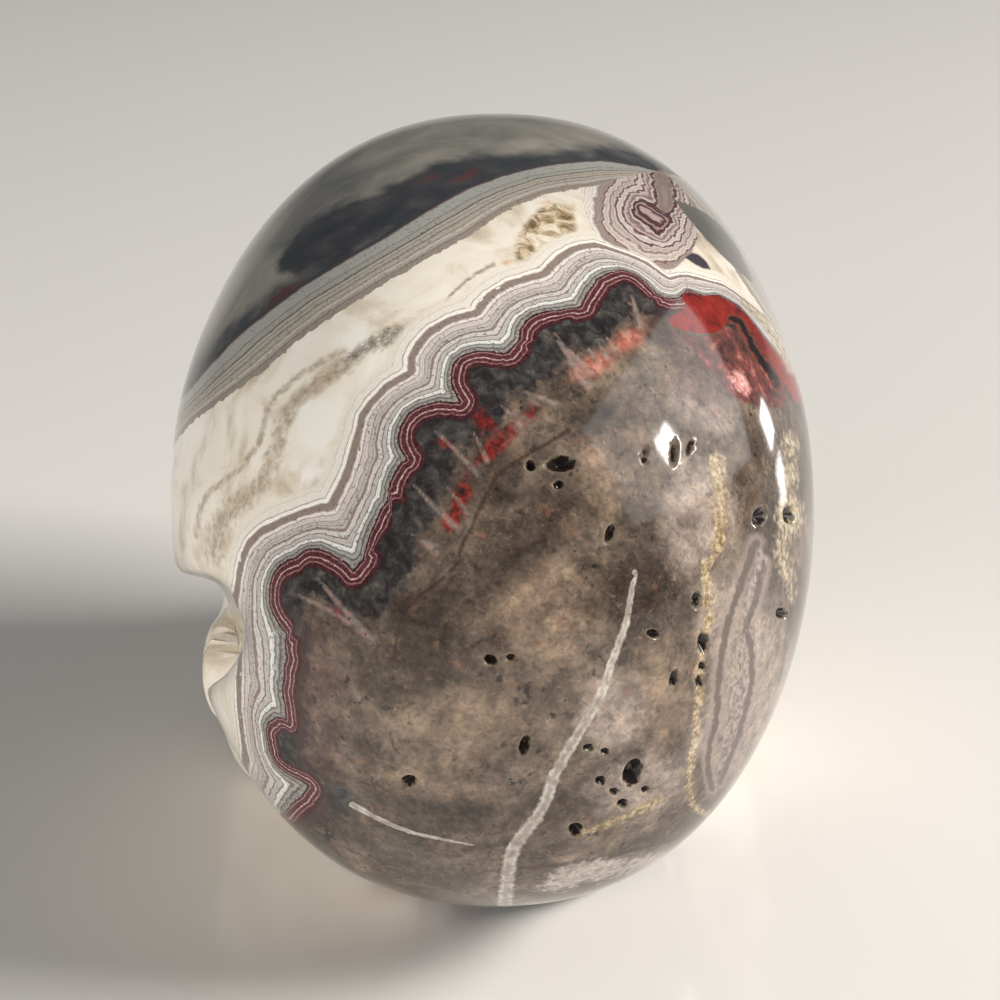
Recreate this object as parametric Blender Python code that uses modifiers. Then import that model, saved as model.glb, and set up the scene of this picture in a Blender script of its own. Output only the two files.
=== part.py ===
"""A polished crazy lace agate skull carving, one solid piece of stone.

The carving stands on its flat base, with its face towards -Y and +Z up. The origin is the centre
of the base. Every size below is in millimetres, and the finished mesh is scaled to metres.
The form is sculpted as a field: smooth masses are blended together and hollows are cut out of
them. A voxel skin over rough balls is then moved onto the surface where the field is zero.
"""

import math

import bpy
import bmesh
import numpy as np
from mathutils import Vector

NAME = "agate_skull"
MM = 0.001

# Driving dimensions of the finished carving. The sculpt below is drawn close to this size,
# and its mesh is fitted to it exactly at the end.
LENGTH = 76.0
WIDTH = 53.5
HEIGHT = 60.0

# Cranium: the braincase, the forehead and the back of the head
CRANIUM = dict(at=(0.3, 5.8, 33.4), half=(26.0, 31.0, 26.8), power=2.1)
FOREHEAD = dict(at=(-0.8, -13.0, 38.1), half=(20.8, 20.4, 19.4), power=2.2)
OCCIPUT = dict(at=(0.3, 19.0, 26.4), half=(20.1, 18.9, 21.4), power=2.2)
NECK = dict(at=(0.0, -2.5, 9.5), half=(18.5, 25.0, 14.5), power=2.4)

# Face: upper jaw, cheekbones, chin and the jaw's rising branch
MIDFACE = dict(at=(0.0, -21.0, 24.0), half=(17.0, 12.0, 13.0), power=2.2)
MUZZLE = dict(at=(0.0, -24.0, 14.5), half=(12.2, 11.2, 11.0), power=2.2)
CHEEKBONE = dict(at=(16.8, -27.2, 20.8), half=(6.4, 5.6, 4.4), power=2.0)
CHIN = dict(at=(0.0, -29.2, 3.8), half=(9.5, 6.2, 5.2), power=2.4)
JAW_BRANCH = dict(at=(18.2, -6.0, 9.6), half=(6.6, 8.6, 11.8), power=2.4)
JAW_LOBE = dict(at=(23.3, 0.0, 12.9), half=(2.2, 5.2, 4.7), power=2.0)

# Rounded bars: a start, an end and the radius at each
BROW_INNER = dict(start=(2.4, -31.4, 34.8), end=(10.6, -31.4, 36.0), radii=(3.0, 3.1))
BROW_OUTER = dict(start=(10.6, -31.4, 36.0), end=(18.2, -27.2, 33.4), radii=(3.1, 2.8))
ORBIT_SIDE = dict(start=(18.6, -27.0, 33.2), end=(18.4, -27.4, 23.5), radii=(2.6, 3.0))
CHEEK_ARCH = dict(start=(20.5, -24.0, 21.6), end=(24.0, 0.0, 25.0), radii=(2.8, 2.6))
JAW_BODY = dict(start=(8.0, -28.2, 4.8), end=(18.6, -8.0, 6.8), radii=(4.8, 6.0))
NOSE_BRIDGE = dict(start=(0.0, -31.0, 35.0), end=(0.0, -33.0, 27.5), radii=(3.6, 1.9))

# Hollows, the same on both sides
EYE_SOCKET = dict(at=(10.2, -36.0, 27.6), half=(7.2, 11.5, 6.1), power=2.6)
TEMPLE = dict(at=(26.8, -17.0, 34.0), half=(6.0, 9.5, 8.0), power=2.0)
CHEEK_HOLLOW = dict(at=(20.6, -20.5, 12.8), half=(6.2, 7.4, 5.4), power=2.0)
NOSE_HOLE = dict(start=(0.9, -33.2, 25.2), end=(2.3, -33.4, 20.4), radii=(1.5, 2.5))

# Grooves cut by hand, one behind each side of the jaw and one under each cheek arch. The one
# under the left arch (+X) runs on up the side of the head in several passes, and the jaw's lobe
# stands behind it.
ARCH_GROOVE_LEFT = dict(start=(27.8, -18.0, 11.6), end=(26.1, -9.0, 14.6), radii=(2.4, 2.0))
LONG_GROOVE_LEFT = dict(start=(26.1, -9.0, 14.6), end=(21.6, 33.0, 36.5), radii=(2.0, 2.1))
UPPER_GROOVE_LEFT = dict(start=(28.5, -6.0, 17.2), end=(24.7, 26.0, 33.7), radii=(1.3, 1.3))
INNER_GROOVE_LEFT = dict(start=(23.2, 5.0, 18.2), end=(20.3, 33.0, 33.8), radii=(1.7, 1.5))
LOWER_GROOVE_LEFT = dict(start=(24.6, 5.0, 15.6), end=(21.5, 33.0, 31.5), radii=(1.5, 1.2))
LEFT_GROOVES = [
    ARCH_GROOVE_LEFT, LONG_GROOVE_LEFT, UPPER_GROOVE_LEFT, INNER_GROOVE_LEFT, LOWER_GROOVE_LEFT,
]
ARCH_GROOVE_RIGHT = dict(start=(-27.8, -18.0, 15.2), end=(-26.8, 5.0, 21.6), radii=(3.4, 3.0))
JAW_GROOVE = dict(start=(26.6, 5.0, 16.0), end=(24.4, 5.0, 3.0), radii=(2.0, 3.0))

# Teeth: two rows along an arch that is open to the back
TOOTH_COUNT = 5
TOOTH_ARCH_CENTRE = (0.0, -22.5)
TOOTH_ARCH_HALF = (11.8, 12.6)
TOOTH_STEP = math.radians(15.5)
TOOTH_POWER = 2.5
UPPER_TEETH = dict(height=12.3, half=(1.66, 1.9, 2.5))
LOWER_TEETH = dict(height=7.3, half=(1.60, 1.8, 2.1))

# How softly the masses run into each other
MIDLINE_SOFTNESS = 1.0
BLEND_HEAD = 9.0
BLEND_FACE = 5.0
BLEND_BONE = 3.2
BLEND_GROOVE = 2.5
BLEND_LOBE = 1.1
BLEND_TOOTH = 0.8
ROUND_SOCKET = 1.6
ROUND_NOSE = 0.8
ROUND_GROOVE = 1.2
ROUND_HOLLOW = 4.0
ROUND_BASE = 1.4

# The voxel skin: its first balls, its two stages, and how far it moves at a time
ROUGH_BALL_SEGMENTS = 32
ROUGH_BALL_SIZE = 0.85
ROUGH_BALLS_PER_BONE = 9
ROUGH_SKIN = dict(voxel=0.8, rounds=11)
FINE_SKIN = dict(voxel=0.5, rounds=5)
SNAPS_A_ROUND = 3
LONGEST_SNAP = 0.7
LEAST_STEEPNESS = 0.05

# The finished mesh: its face count, the stretch where the face ends and the dome begins, how
# much less the face is slimmed than the dome, and the height where the base is cut flat
MOST_TRIANGLES = 9500
FACE_BACK = -18.0
DOME_FRONT = 6.0
FACE_SLIMMING = 0.25
BASE_CUT = 0.06

# The stone's mean colour and its polish
STONE_COLOUR = (0.30, 0.25, 0.21, 1.0)
STONE_ROUGHNESS = 0.12


def superellipsoid(points, at, half, power):
    """Rough distance from each point to a rounded block, negative inside it."""
    scaled = np.abs((points - np.array(at)) / np.array(half))
    size = (scaled ** power).sum(axis=1) ** (1.0 / power)
    slope = (scaled ** (power - 1.0)) / np.array(half)
    steepness = np.linalg.norm(slope, axis=1) / np.maximum(size, 1e-6) ** (power - 1.0)
    return (size - 1.0) / np.maximum(steepness, 1e-6)


def bar(points, start, end, radii):
    """Distance from each point to a rounded bar whose radius changes along it."""
    start, end = np.array(start), np.array(end)
    along = end - start
    share = np.clip((points - start) @ along / (along @ along), 0.0, 1.0)
    nearest = start + share[:, None] * along
    radius = radii[0] + (radii[1] - radii[0]) * share
    return np.linalg.norm(points - nearest, axis=1) - radius


def blend(first, second, softness):
    """Joins two distances, with a fillet where they meet."""
    share = np.clip(0.5 + 0.5 * (second - first) / softness, 0.0, 1.0)
    return second + (first - second) * share - softness * share * (1.0 - share)


def carve(solid, hollow, softness):
    """Takes a hollow out of a solid, with a rounded rim."""
    return -blend(-solid, hollow, softness)


def tooth_row(points, height, half):
    """Distance to one row of teeth, a loop over half of the dental arch."""
    nearest = np.full(len(points), np.inf)
    sideways = np.abs(points[:, 0])
    for number in range(TOOTH_COUNT):
        angle = TOOTH_STEP * (number + 0.5)
        at = (
            TOOTH_ARCH_CENTRE[0] + TOOTH_ARCH_HALF[0] * math.sin(angle),
            TOOTH_ARCH_CENTRE[1] - TOOTH_ARCH_HALF[1] * math.cos(angle),
            height,
        )
        side, depth, level = sideways - at[0], points[:, 1] - at[1], points[:, 2] - at[2]
        across = side * math.cos(angle) + depth * math.sin(angle)
        outward = side * math.sin(angle) - depth * math.cos(angle)
        local = np.stack([across, outward, level], axis=1)
        nearest = np.minimum(nearest, superellipsoid(local, (0.0, 0.0, 0.0), half, TOOTH_POWER))
    return nearest


def skull_field(points):
    """Rough distance from each point to the skull's surface, negative in the stone."""
    mirrored = points.copy()
    mirrored[:, 0] = np.hypot(points[:, 0], MIDLINE_SOFTNESS)
    field = superellipsoid(points, **CRANIUM)
    for mass in (FOREHEAD, OCCIPUT):
        field = blend(field, superellipsoid(points, **mass), BLEND_HEAD)
    for mass in (NECK, MIDFACE, MUZZLE):
        field = blend(field, superellipsoid(points, **mass), BLEND_FACE)
    field = carve(field, superellipsoid(mirrored, **TEMPLE), ROUND_HOLLOW)
    for mass in (CHEEKBONE, CHIN):
        field = blend(field, superellipsoid(mirrored, **mass), BLEND_BONE)
    for bone in (BROW_INNER, BROW_OUTER, NOSE_BRIDGE):
        field = blend(field, bar(mirrored, **bone), BLEND_FACE)
    for bone in (ORBIT_SIDE, CHEEK_ARCH, JAW_BODY):
        field = blend(field, bar(mirrored, **bone), BLEND_BONE)
    grooves = bar(mirrored, **JAW_GROOVE)
    for groove in LEFT_GROOVES + [ARCH_GROOVE_RIGHT]:
        grooves = blend(grooves, bar(points, **groove), BLEND_GROOVE)
    field = carve(field, grooves, ROUND_GROOVE)
    for mass in (JAW_BRANCH, JAW_LOBE):
        field = blend(field, superellipsoid(mirrored, **mass), BLEND_LOBE)
    field = carve(field, superellipsoid(mirrored, **CHEEK_HOLLOW), ROUND_HOLLOW)
    field = carve(field, superellipsoid(mirrored, **EYE_SOCKET), ROUND_SOCKET)
    field = carve(field, bar(mirrored, **NOSE_HOLE), ROUND_NOSE)
    for row in (UPPER_TEETH, LOWER_TEETH):
        field = blend(field, tooth_row(points, **row), BLEND_TOOTH)
    return -blend(-field, points[:, 2], ROUND_BASE)


def field_slope(points, step=0.02):
    """The field's gradient at each point, from small steps along each axis."""
    slope = np.empty_like(points)
    for axis in range(3):
        shift = np.zeros(3)
        shift[axis] = step
        slope[:, axis] = skull_field(points + shift) - skull_field(points - shift)
    return slope / (2.0 * step)


def snap_to_field(points, rounds):
    """Moves each point downhill or uphill onto the surface where the field is zero."""
    for _ in range(rounds):
        value = skull_field(points)
        slope = field_slope(points)
        steepness = np.maximum((slope ** 2).sum(axis=1), LEAST_STEEPNESS)
        step = np.clip(value / steepness, -LONGEST_SNAP, LONGEST_SNAP)
        points = points - step[:, None] * slope
    return points


def clear_scene():
    for obj in list(bpy.data.objects):
        bpy.data.objects.remove(obj, do_unlink=True)


def rough_ball(at, half, collection):
    """A ball stretched to a little less than a mass's size, so the skin grows onto the field."""
    mesh = bpy.data.meshes.new("rough_ball")
    shape = bmesh.new()
    bmesh.ops.create_uvsphere(
        shape, u_segments=ROUGH_BALL_SEGMENTS, v_segments=ROUGH_BALL_SEGMENTS // 2, radius=1.0
    )
    bmesh.ops.scale(shape, vec=Vector(half) * ROUGH_BALL_SIZE, verts=shape.verts)
    bmesh.ops.translate(shape, vec=Vector(at), verts=shape.verts)
    shape.to_mesh(mesh)
    shape.free()
    ball = bpy.data.objects.new("rough_ball", mesh)
    collection.objects.link(ball)
    return ball


def rough_balls(collection):
    """Balls for every mass, those beside the middle twice, and a few along each bone."""
    places = [(mass["at"], mass["half"]) for mass in (CRANIUM, FOREHEAD, OCCIPUT)]
    places += [(mass["at"], mass["half"]) for mass in (NECK, MIDFACE, MUZZLE, CHIN)]
    paired = [(mass["at"], mass["half"]) for mass in (CHEEKBONE, JAW_BRANCH)]
    for bone in (BROW_INNER, BROW_OUTER, ORBIT_SIDE, CHEEK_ARCH, JAW_BODY):
        start, end = Vector(bone["start"]), Vector(bone["end"])
        for share in np.linspace(0.0, 1.0, ROUGH_BALLS_PER_BONE):
            radius = bone["radii"][0] + (bone["radii"][1] - bone["radii"][0]) * share
            paired.append((tuple(start.lerp(end, share)), (radius, radius, radius)))
    for at, half in paired:
        places.append((at, half))
        places.append(((-at[0], at[1], at[2]), half))
    return [rough_ball(at, half, collection) for at, half in places]


def join_meshes(objects):
    """All the balls' faces in one mesh, still as overlapping shells."""
    joined = bmesh.new()
    for obj in objects:
        joined.from_mesh(obj.data)
    mesh = bpy.data.meshes.new(NAME)
    joined.to_mesh(mesh)
    joined.free()
    for obj in objects:
        bpy.data.objects.remove(obj, do_unlink=True)
    return mesh


def applied(obj):
    """Replaces the object's mesh with its evaluated one, and clears its modifiers."""
    bpy.context.view_layer.update()
    graph = bpy.context.evaluated_depsgraph_get()
    mesh = bpy.data.meshes.new_from_object(obj.evaluated_get(graph))
    obj.modifiers.clear()
    obj.data = mesh


def read_points(mesh):
    flat = np.empty(len(mesh.vertices) * 3)
    mesh.vertices.foreach_get("co", flat)
    return flat.reshape(-1, 3)


def write_points(mesh, points):
    mesh.vertices.foreach_set("co", points.ravel())
    mesh.update()


def relax(mesh, points):
    """Moves each point halfway to the mean of its neighbours, which evens out the skin."""
    ends = np.empty(len(mesh.edges) * 2, dtype=np.int64)
    mesh.edges.foreach_get("vertices", ends)
    ends = ends.reshape(-1, 2)
    total = np.zeros_like(points)
    count = np.zeros(len(points))
    for near, far in ((0, 1), (1, 0)):
        np.add.at(total, ends[:, near], points[ends[:, far]])
        np.add.at(count, ends[:, near], 1.0)
    return 0.5 * points + 0.5 * total / count[:, None]


def skin_on_field(obj, voxel, rounds):
    """Skins the object with voxels, and draws the skin onto the skull's field bit by bit."""
    skin = obj.modifiers.new("skin", "REMESH")
    skin.mode = "VOXEL"
    skin.voxel_size = voxel
    applied(obj)
    points = read_points(obj.data)
    for _ in range(rounds):
        points = snap_to_field(relax(obj.data, points), SNAPS_A_ROUND)
    write_points(obj.data, points)


def reduce_faces(obj):
    """Leaves most faces on the carved face, and few on the smooth dome."""
    dome = obj.vertex_groups.new(name="dome")
    depth = read_points(obj.data)[:, 1]
    share = np.clip((depth - FACE_BACK) / (DOME_FRONT - FACE_BACK), 0.0, 1.0)
    for number, weight in enumerate(FACE_SLIMMING + (1.0 - FACE_SLIMMING) * share):
        dome.add([number], weight, "REPLACE")
    slim = obj.modifiers.new("slim", "DECIMATE")
    faces = sum(len(polygon.vertices) - 2 for polygon in obj.data.polygons)
    slim.ratio = min(1.0, MOST_TRIANGLES / faces)
    slim.use_collapse_triangulate = True
    slim.vertex_group = dome.name
    applied(obj)
    obj.vertex_groups.clear()


def flatten_base(obj):
    """Cuts the underside off flat and closes it with one face."""
    shape = bmesh.new()
    shape.from_mesh(obj.data)
    everything = shape.verts[:] + shape.edges[:] + shape.faces[:]
    cut = bmesh.ops.bisect_plane(
        shape,
        geom=everything,
        plane_co=(0.0, 0.0, BASE_CUT),
        plane_no=(0.0, 0.0, 1.0),
        clear_inner=True,
    )
    rim = [item for item in cut["geom_cut"] if isinstance(item, bmesh.types.BMEdge)]
    bmesh.ops.holes_fill(shape, edges=rim, sides=0)
    bmesh.ops.triangulate(shape, faces=shape.faces[:])
    bmesh.ops.recalc_face_normals(shape, faces=shape.faces[:])
    shape.to_mesh(obj.data)
    shape.free()


def fit_to_size(obj):
    """Fits the carving's box to its driving dimensions, with the centre of its base at the origin."""
    points = read_points(obj.data)
    low, high = points.min(axis=0), points.max(axis=0)
    origin = np.array(((low[0] + high[0]) / 2.0, (low[1] + high[1]) / 2.0, low[2]))
    size = np.array((WIDTH, LENGTH, HEIGHT)) * MM
    write_points(obj.data, (points - origin) * size / (high - low))


def agate_material():
    material = bpy.data.materials.new("crazy_lace_agate")
    material.use_nodes = True
    shader = material.node_tree.nodes["Principled BSDF"]
    shader.inputs["Base Color"].default_value = STONE_COLOUR
    shader.inputs["Roughness"].default_value = STONE_ROUGHNESS
    shader.inputs["Metallic"].default_value = 0.0
    return material


def build():
    clear_scene()
    collection = bpy.data.collections.new("agate_skull_carving")
    bpy.context.scene.collection.children.link(collection)
    skull = bpy.data.objects.new(NAME, join_meshes(rough_balls(collection)))
    collection.objects.link(skull)
    for skin in (ROUGH_SKIN, FINE_SKIN):
        skin_on_field(skull, **skin)
    reduce_faces(skull)
    flatten_base(skull)
    fit_to_size(skull)
    skull.data.shade_smooth()
    skull.data.materials.clear()
    skull.data.materials.append(agate_material())


build()
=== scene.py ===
import math
from contextlib import contextmanager

import bmesh
import bpy
import numpy as np
from mathutils import Matrix, Vector
from mathutils.bvhtree import BVHTree
from mathutils.kdtree import KDTree


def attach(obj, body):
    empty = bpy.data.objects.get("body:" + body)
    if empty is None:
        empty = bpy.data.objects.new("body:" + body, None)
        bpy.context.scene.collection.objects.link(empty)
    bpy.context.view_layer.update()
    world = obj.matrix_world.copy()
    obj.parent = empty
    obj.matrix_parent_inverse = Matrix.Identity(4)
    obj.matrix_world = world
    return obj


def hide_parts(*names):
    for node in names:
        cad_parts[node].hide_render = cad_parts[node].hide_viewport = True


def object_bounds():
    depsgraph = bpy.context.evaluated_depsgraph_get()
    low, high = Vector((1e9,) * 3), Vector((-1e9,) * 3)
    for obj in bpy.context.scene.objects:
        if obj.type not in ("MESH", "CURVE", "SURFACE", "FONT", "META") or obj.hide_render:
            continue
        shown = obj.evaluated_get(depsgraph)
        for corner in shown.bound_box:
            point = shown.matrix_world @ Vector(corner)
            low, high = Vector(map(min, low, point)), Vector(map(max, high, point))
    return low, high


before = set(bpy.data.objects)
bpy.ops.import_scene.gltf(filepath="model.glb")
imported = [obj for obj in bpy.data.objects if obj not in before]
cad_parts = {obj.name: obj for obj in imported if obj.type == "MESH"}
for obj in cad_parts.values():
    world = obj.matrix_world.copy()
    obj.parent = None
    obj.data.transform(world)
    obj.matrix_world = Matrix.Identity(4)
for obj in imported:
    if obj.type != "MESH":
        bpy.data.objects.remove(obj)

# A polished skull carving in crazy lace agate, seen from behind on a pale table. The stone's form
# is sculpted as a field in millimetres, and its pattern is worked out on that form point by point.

cad_box = [list(corner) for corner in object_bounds()]

MM = 0.001

# The skull's form, as in the part's source

CRANIUM = dict(at=(0.3, 5.8, 33.4), half=(26.0, 31.0, 26.8), power=2.1)
FOREHEAD = dict(at=(-0.8, -13.0, 38.1), half=(20.8, 20.4, 19.4), power=2.2)
OCCIPUT = dict(at=(0.3, 19.0, 26.4), half=(20.1, 18.9, 21.4), power=2.2)
NECK = dict(at=(0.0, -2.5, 9.5), half=(18.5, 25.0, 14.5), power=2.4)
MIDFACE = dict(at=(0.0, -21.0, 24.0), half=(17.0, 12.0, 13.0), power=2.2)
MUZZLE = dict(at=(0.0, -24.0, 14.5), half=(12.2, 11.2, 11.0), power=2.2)
CHEEKBONE = dict(at=(16.8, -27.2, 20.8), half=(6.4, 5.6, 4.4), power=2.0)
CHIN = dict(at=(0.0, -29.2, 3.8), half=(9.5, 6.2, 5.2), power=2.4)
JAW_BRANCH = dict(at=(18.2, -6.0, 9.6), half=(6.6, 8.6, 11.8), power=2.4)
JAW_LOBE = dict(at=(23.3, 0.0, 12.9), half=(2.2, 5.2, 4.7), power=2.0)
BROW_INNER = dict(start=(2.4, -31.4, 34.8), end=(10.6, -31.4, 36.0), radii=(3.0, 3.1))
BROW_OUTER = dict(start=(10.6, -31.4, 36.0), end=(18.2, -27.2, 33.4), radii=(3.1, 2.8))
ORBIT_SIDE = dict(start=(18.6, -27.0, 33.2), end=(18.4, -27.4, 23.5), radii=(2.6, 3.0))
CHEEK_ARCH = dict(start=(20.5, -24.0, 21.6), end=(24.0, 0.0, 25.0), radii=(2.8, 2.6))
JAW_BODY = dict(start=(8.0, -28.2, 4.8), end=(18.6, -8.0, 6.8), radii=(4.8, 6.0))
NOSE_BRIDGE = dict(start=(0.0, -31.0, 35.0), end=(0.0, -33.0, 27.5), radii=(3.6, 1.9))
EYE_SOCKET = dict(at=(10.2, -36.0, 27.6), half=(7.2, 11.5, 6.1), power=2.6)
TEMPLE = dict(at=(26.8, -17.0, 34.0), half=(6.0, 9.5, 8.0), power=2.0)
CHEEK_HOLLOW = dict(at=(20.6, -20.5, 12.8), half=(6.2, 7.4, 5.4), power=2.0)
NOSE_HOLE = dict(start=(0.9, -33.2, 25.2), end=(2.3, -33.4, 20.4), radii=(1.5, 2.5))
ARCH_GROOVE_LEFT = dict(start=(27.8, -18.0, 11.6), end=(26.1, -9.0, 14.6), radii=(2.4, 2.0))
LONG_GROOVE_LEFT = dict(start=(26.1, -9.0, 14.6), end=(21.6, 33.0, 36.5), radii=(2.0, 2.1))
UPPER_GROOVE_LEFT = dict(start=(28.5, -6.0, 17.2), end=(24.7, 26.0, 33.7), radii=(1.3, 1.3))
INNER_GROOVE_LEFT = dict(start=(23.2, 5.0, 18.2), end=(20.3, 33.0, 33.8), radii=(1.7, 1.5))
LOWER_GROOVE_LEFT = dict(start=(24.6, 5.0, 15.6), end=(21.5, 33.0, 31.5), radii=(1.5, 1.2))
LEFT_GROOVES = [
    ARCH_GROOVE_LEFT, LONG_GROOVE_LEFT, UPPER_GROOVE_LEFT, INNER_GROOVE_LEFT, LOWER_GROOVE_LEFT,
]
ARCH_GROOVE_RIGHT = dict(start=(-27.8, -18.0, 15.2), end=(-26.8, 5.0, 21.6), radii=(3.4, 3.0))
JAW_GROOVE = dict(start=(26.6, 5.0, 16.0), end=(24.4, 5.0, 3.0), radii=(2.0, 3.0))
TOOTH_COUNT = 5
TOOTH_ARCH_CENTRE = (0.0, -22.5)
TOOTH_ARCH_HALF = (11.8, 12.6)
TOOTH_STEP = math.radians(15.5)
TOOTH_POWER = 2.5
UPPER_TEETH = dict(height=12.3, half=(1.66, 1.9, 2.5))
LOWER_TEETH = dict(height=7.3, half=(1.60, 1.8, 2.1))
MIDLINE_SOFTNESS = 1.0
BLEND_HEAD = 9.0
BLEND_FACE = 5.0
BLEND_BONE = 3.2
BLEND_GROOVE = 2.5
BLEND_LOBE = 1.1
BLEND_TOOTH = 0.8
ROUND_SOCKET = 1.6
ROUND_NOSE = 0.8
ROUND_GROOVE = 1.2
ROUND_HOLLOW = 4.0
ROUND_BASE = 1.4
BASE_CUT = 0.06

# The sculpt's box before it is fitted to the finished size
SCULPT_LOW = np.array((-26.668, -36.861, 0.072))
SCULPT_HIGH = np.array((26.728, 39.397, 60.236))

# Drawing the fine mesh onto the field, in millimetres
SKIN_VOXEL = 0.88
SKIN_ROUNDS = 2
LONGEST_SNAP = 0.7
LEAST_STEEPNESS = 0.05
SNAPS_PER_ROUND = 2
SLOPE_STEP = 0.02
TINY = 1e-6


def superellipsoid(points, at, half, power):
    """Rough distance from each point to a rounded block, negative inside it."""
    scaled = np.abs((points - np.array(at)) / np.array(half))
    size = (scaled ** power).sum(axis=1) ** (1.0 / power)
    slope = (scaled ** (power - 1.0)) / np.array(half)
    steepness = np.linalg.norm(slope, axis=1) / np.maximum(size, TINY) ** (power - 1.0)
    return (size - 1.0) / np.maximum(steepness, TINY)


def bar(points, start, end, radii):
    """Distance from each point to a rounded bar whose radius changes along it."""
    start, end = np.array(start), np.array(end)
    along = end - start
    share = np.clip((points - start) @ along / (along @ along), 0.0, 1.0)
    nearest = start + share[:, None] * along
    radius = radii[0] + (radii[1] - radii[0]) * share
    return np.linalg.norm(points - nearest, axis=1) - radius


def blend(first, second, softness):
    """Joins two distances, with a fillet where they meet."""
    share = np.clip(0.5 + 0.5 * (second - first) / softness, 0.0, 1.0)
    return second + (first - second) * share - softness * share * (1.0 - share)


def carve(solid, hollow, softness):
    """Takes a hollow out of a solid, with a rounded rim."""
    return -blend(-solid, hollow, softness)


def tooth_row(points, height, half):
    """Distance to one row of teeth, a loop over half of the dental arch."""
    nearest = np.full(len(points), np.inf)
    sideways = np.abs(points[:, 0])
    for number in range(TOOTH_COUNT):
        angle = TOOTH_STEP * (number + 0.5)
        at = (
            TOOTH_ARCH_CENTRE[0] + TOOTH_ARCH_HALF[0] * math.sin(angle),
            TOOTH_ARCH_CENTRE[1] - TOOTH_ARCH_HALF[1] * math.cos(angle),
            height,
        )
        side, depth, level = sideways - at[0], points[:, 1] - at[1], points[:, 2] - at[2]
        across = side * math.cos(angle) + depth * math.sin(angle)
        outward = side * math.sin(angle) - depth * math.cos(angle)
        local = np.stack([across, outward, level], axis=1)
        nearest = np.minimum(nearest, superellipsoid(local, (0.0, 0.0, 0.0), half, TOOTH_POWER))
    return nearest


def skull_field(points):
    """Rough distance from each point to the skull's surface, negative in the stone."""
    mirrored = points.copy()
    mirrored[:, 0] = np.hypot(points[:, 0], MIDLINE_SOFTNESS)
    field = superellipsoid(points, **CRANIUM)
    for mass in (FOREHEAD, OCCIPUT):
        field = blend(field, superellipsoid(points, **mass), BLEND_HEAD)
    for mass in (NECK, MIDFACE, MUZZLE):
        field = blend(field, superellipsoid(points, **mass), BLEND_FACE)
    field = carve(field, superellipsoid(mirrored, **TEMPLE), ROUND_HOLLOW)
    for mass in (CHEEKBONE, CHIN):
        field = blend(field, superellipsoid(mirrored, **mass), BLEND_BONE)
    for bone in (BROW_INNER, BROW_OUTER, NOSE_BRIDGE):
        field = blend(field, bar(mirrored, **bone), BLEND_FACE)
    for bone in (ORBIT_SIDE, CHEEK_ARCH, JAW_BODY):
        field = blend(field, bar(mirrored, **bone), BLEND_BONE)
    grooves = bar(mirrored, **JAW_GROOVE)
    for groove in LEFT_GROOVES + [ARCH_GROOVE_RIGHT]:
        grooves = blend(grooves, bar(points, **groove), BLEND_GROOVE)
    field = carve(field, grooves, ROUND_GROOVE)
    for mass in (JAW_BRANCH, JAW_LOBE):
        field = blend(field, superellipsoid(mirrored, **mass), BLEND_LOBE)
    field = carve(field, superellipsoid(mirrored, **CHEEK_HOLLOW), ROUND_HOLLOW)
    field = carve(field, superellipsoid(mirrored, **EYE_SOCKET), ROUND_SOCKET)
    field = carve(field, bar(mirrored, **NOSE_HOLE), ROUND_NOSE)
    for row in (UPPER_TEETH, LOWER_TEETH):
        field = blend(field, tooth_row(points, **row), BLEND_TOOTH)
    return -blend(-field, points[:, 2], ROUND_BASE)


def field_slope(points):
    """The field's gradient at each point, from small steps along each axis."""
    slope = np.empty_like(points)
    for axis in range(3):
        shift = np.zeros(3)
        shift[axis] = SLOPE_STEP
        slope[:, axis] = skull_field(points + shift) - skull_field(points - shift)
    return slope / (2.0 * SLOPE_STEP)


def snap_to_field(points, rounds):
    """Moves each point onto the surface where the field is zero."""
    for _ in range(rounds):
        slope = field_slope(points)
        steepness = np.maximum((slope ** 2).sum(axis=1), LEAST_STEEPNESS)
        step = np.clip(skull_field(points) / steepness, -LONGEST_SNAP, LONGEST_SNAP)
        points = points - step[:, None] * slope
    return points


def add_object(name, data):
    piece = bpy.data.objects.new(name, data)
    bpy.context.scene.collection.objects.link(piece)
    return piece


@contextmanager
def editing(mesh):
    """Opens a mesh for editing, and writes the change back at the end."""
    shape = bmesh.new()
    shape.from_mesh(mesh)
    yield shape
    shape.to_mesh(mesh)
    shape.free()


def split_large_faces(shape):
    bmesh.ops.triangulate(shape, faces=[face for face in shape.faces if len(face.verts) > 4])


def read_points(mesh):
    flat = np.empty(len(mesh.vertices) * 3)
    mesh.vertices.foreach_get("co", flat)
    return flat.reshape(-1, 3)


def write_points(mesh, points):
    mesh.vertices.foreach_set("co", points.ravel())
    mesh.update()


def read_normals(mesh):
    flat = np.empty(len(mesh.vertices) * 3)
    mesh.vertex_normals.foreach_get("vector", flat)
    return flat.reshape(-1, 3)


def read_edges(mesh):
    """The numbers of the two points of each edge."""
    flat = np.empty(len(mesh.edges) * 2, dtype=np.int64)
    mesh.edges.foreach_get("vertices", flat)
    return flat.reshape(-1, 2)


def relax(mesh, points):
    """Moves each point halfway to the mean of its neighbours."""
    ends = read_edges(mesh)
    total = np.zeros_like(points)
    count = np.zeros(len(points))
    for near, far in ((0, 1), (1, 0)):
        np.add.at(total, ends[:, near], points[ends[:, far]])
        np.add.at(count, ends[:, near], 1.0)
    return 0.5 * points + 0.5 * total / count[:, None]


def fit_to_box(skull, low, high):
    """Fits the stone's box to another box."""
    low, high = np.array(low), np.array(high)
    points = read_points(skull.data)
    own_low, own_high = points.min(axis=0), points.max(axis=0)
    write_points(skull.data, low + (points - own_low) * (high - low) / (own_high - own_low))


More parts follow.
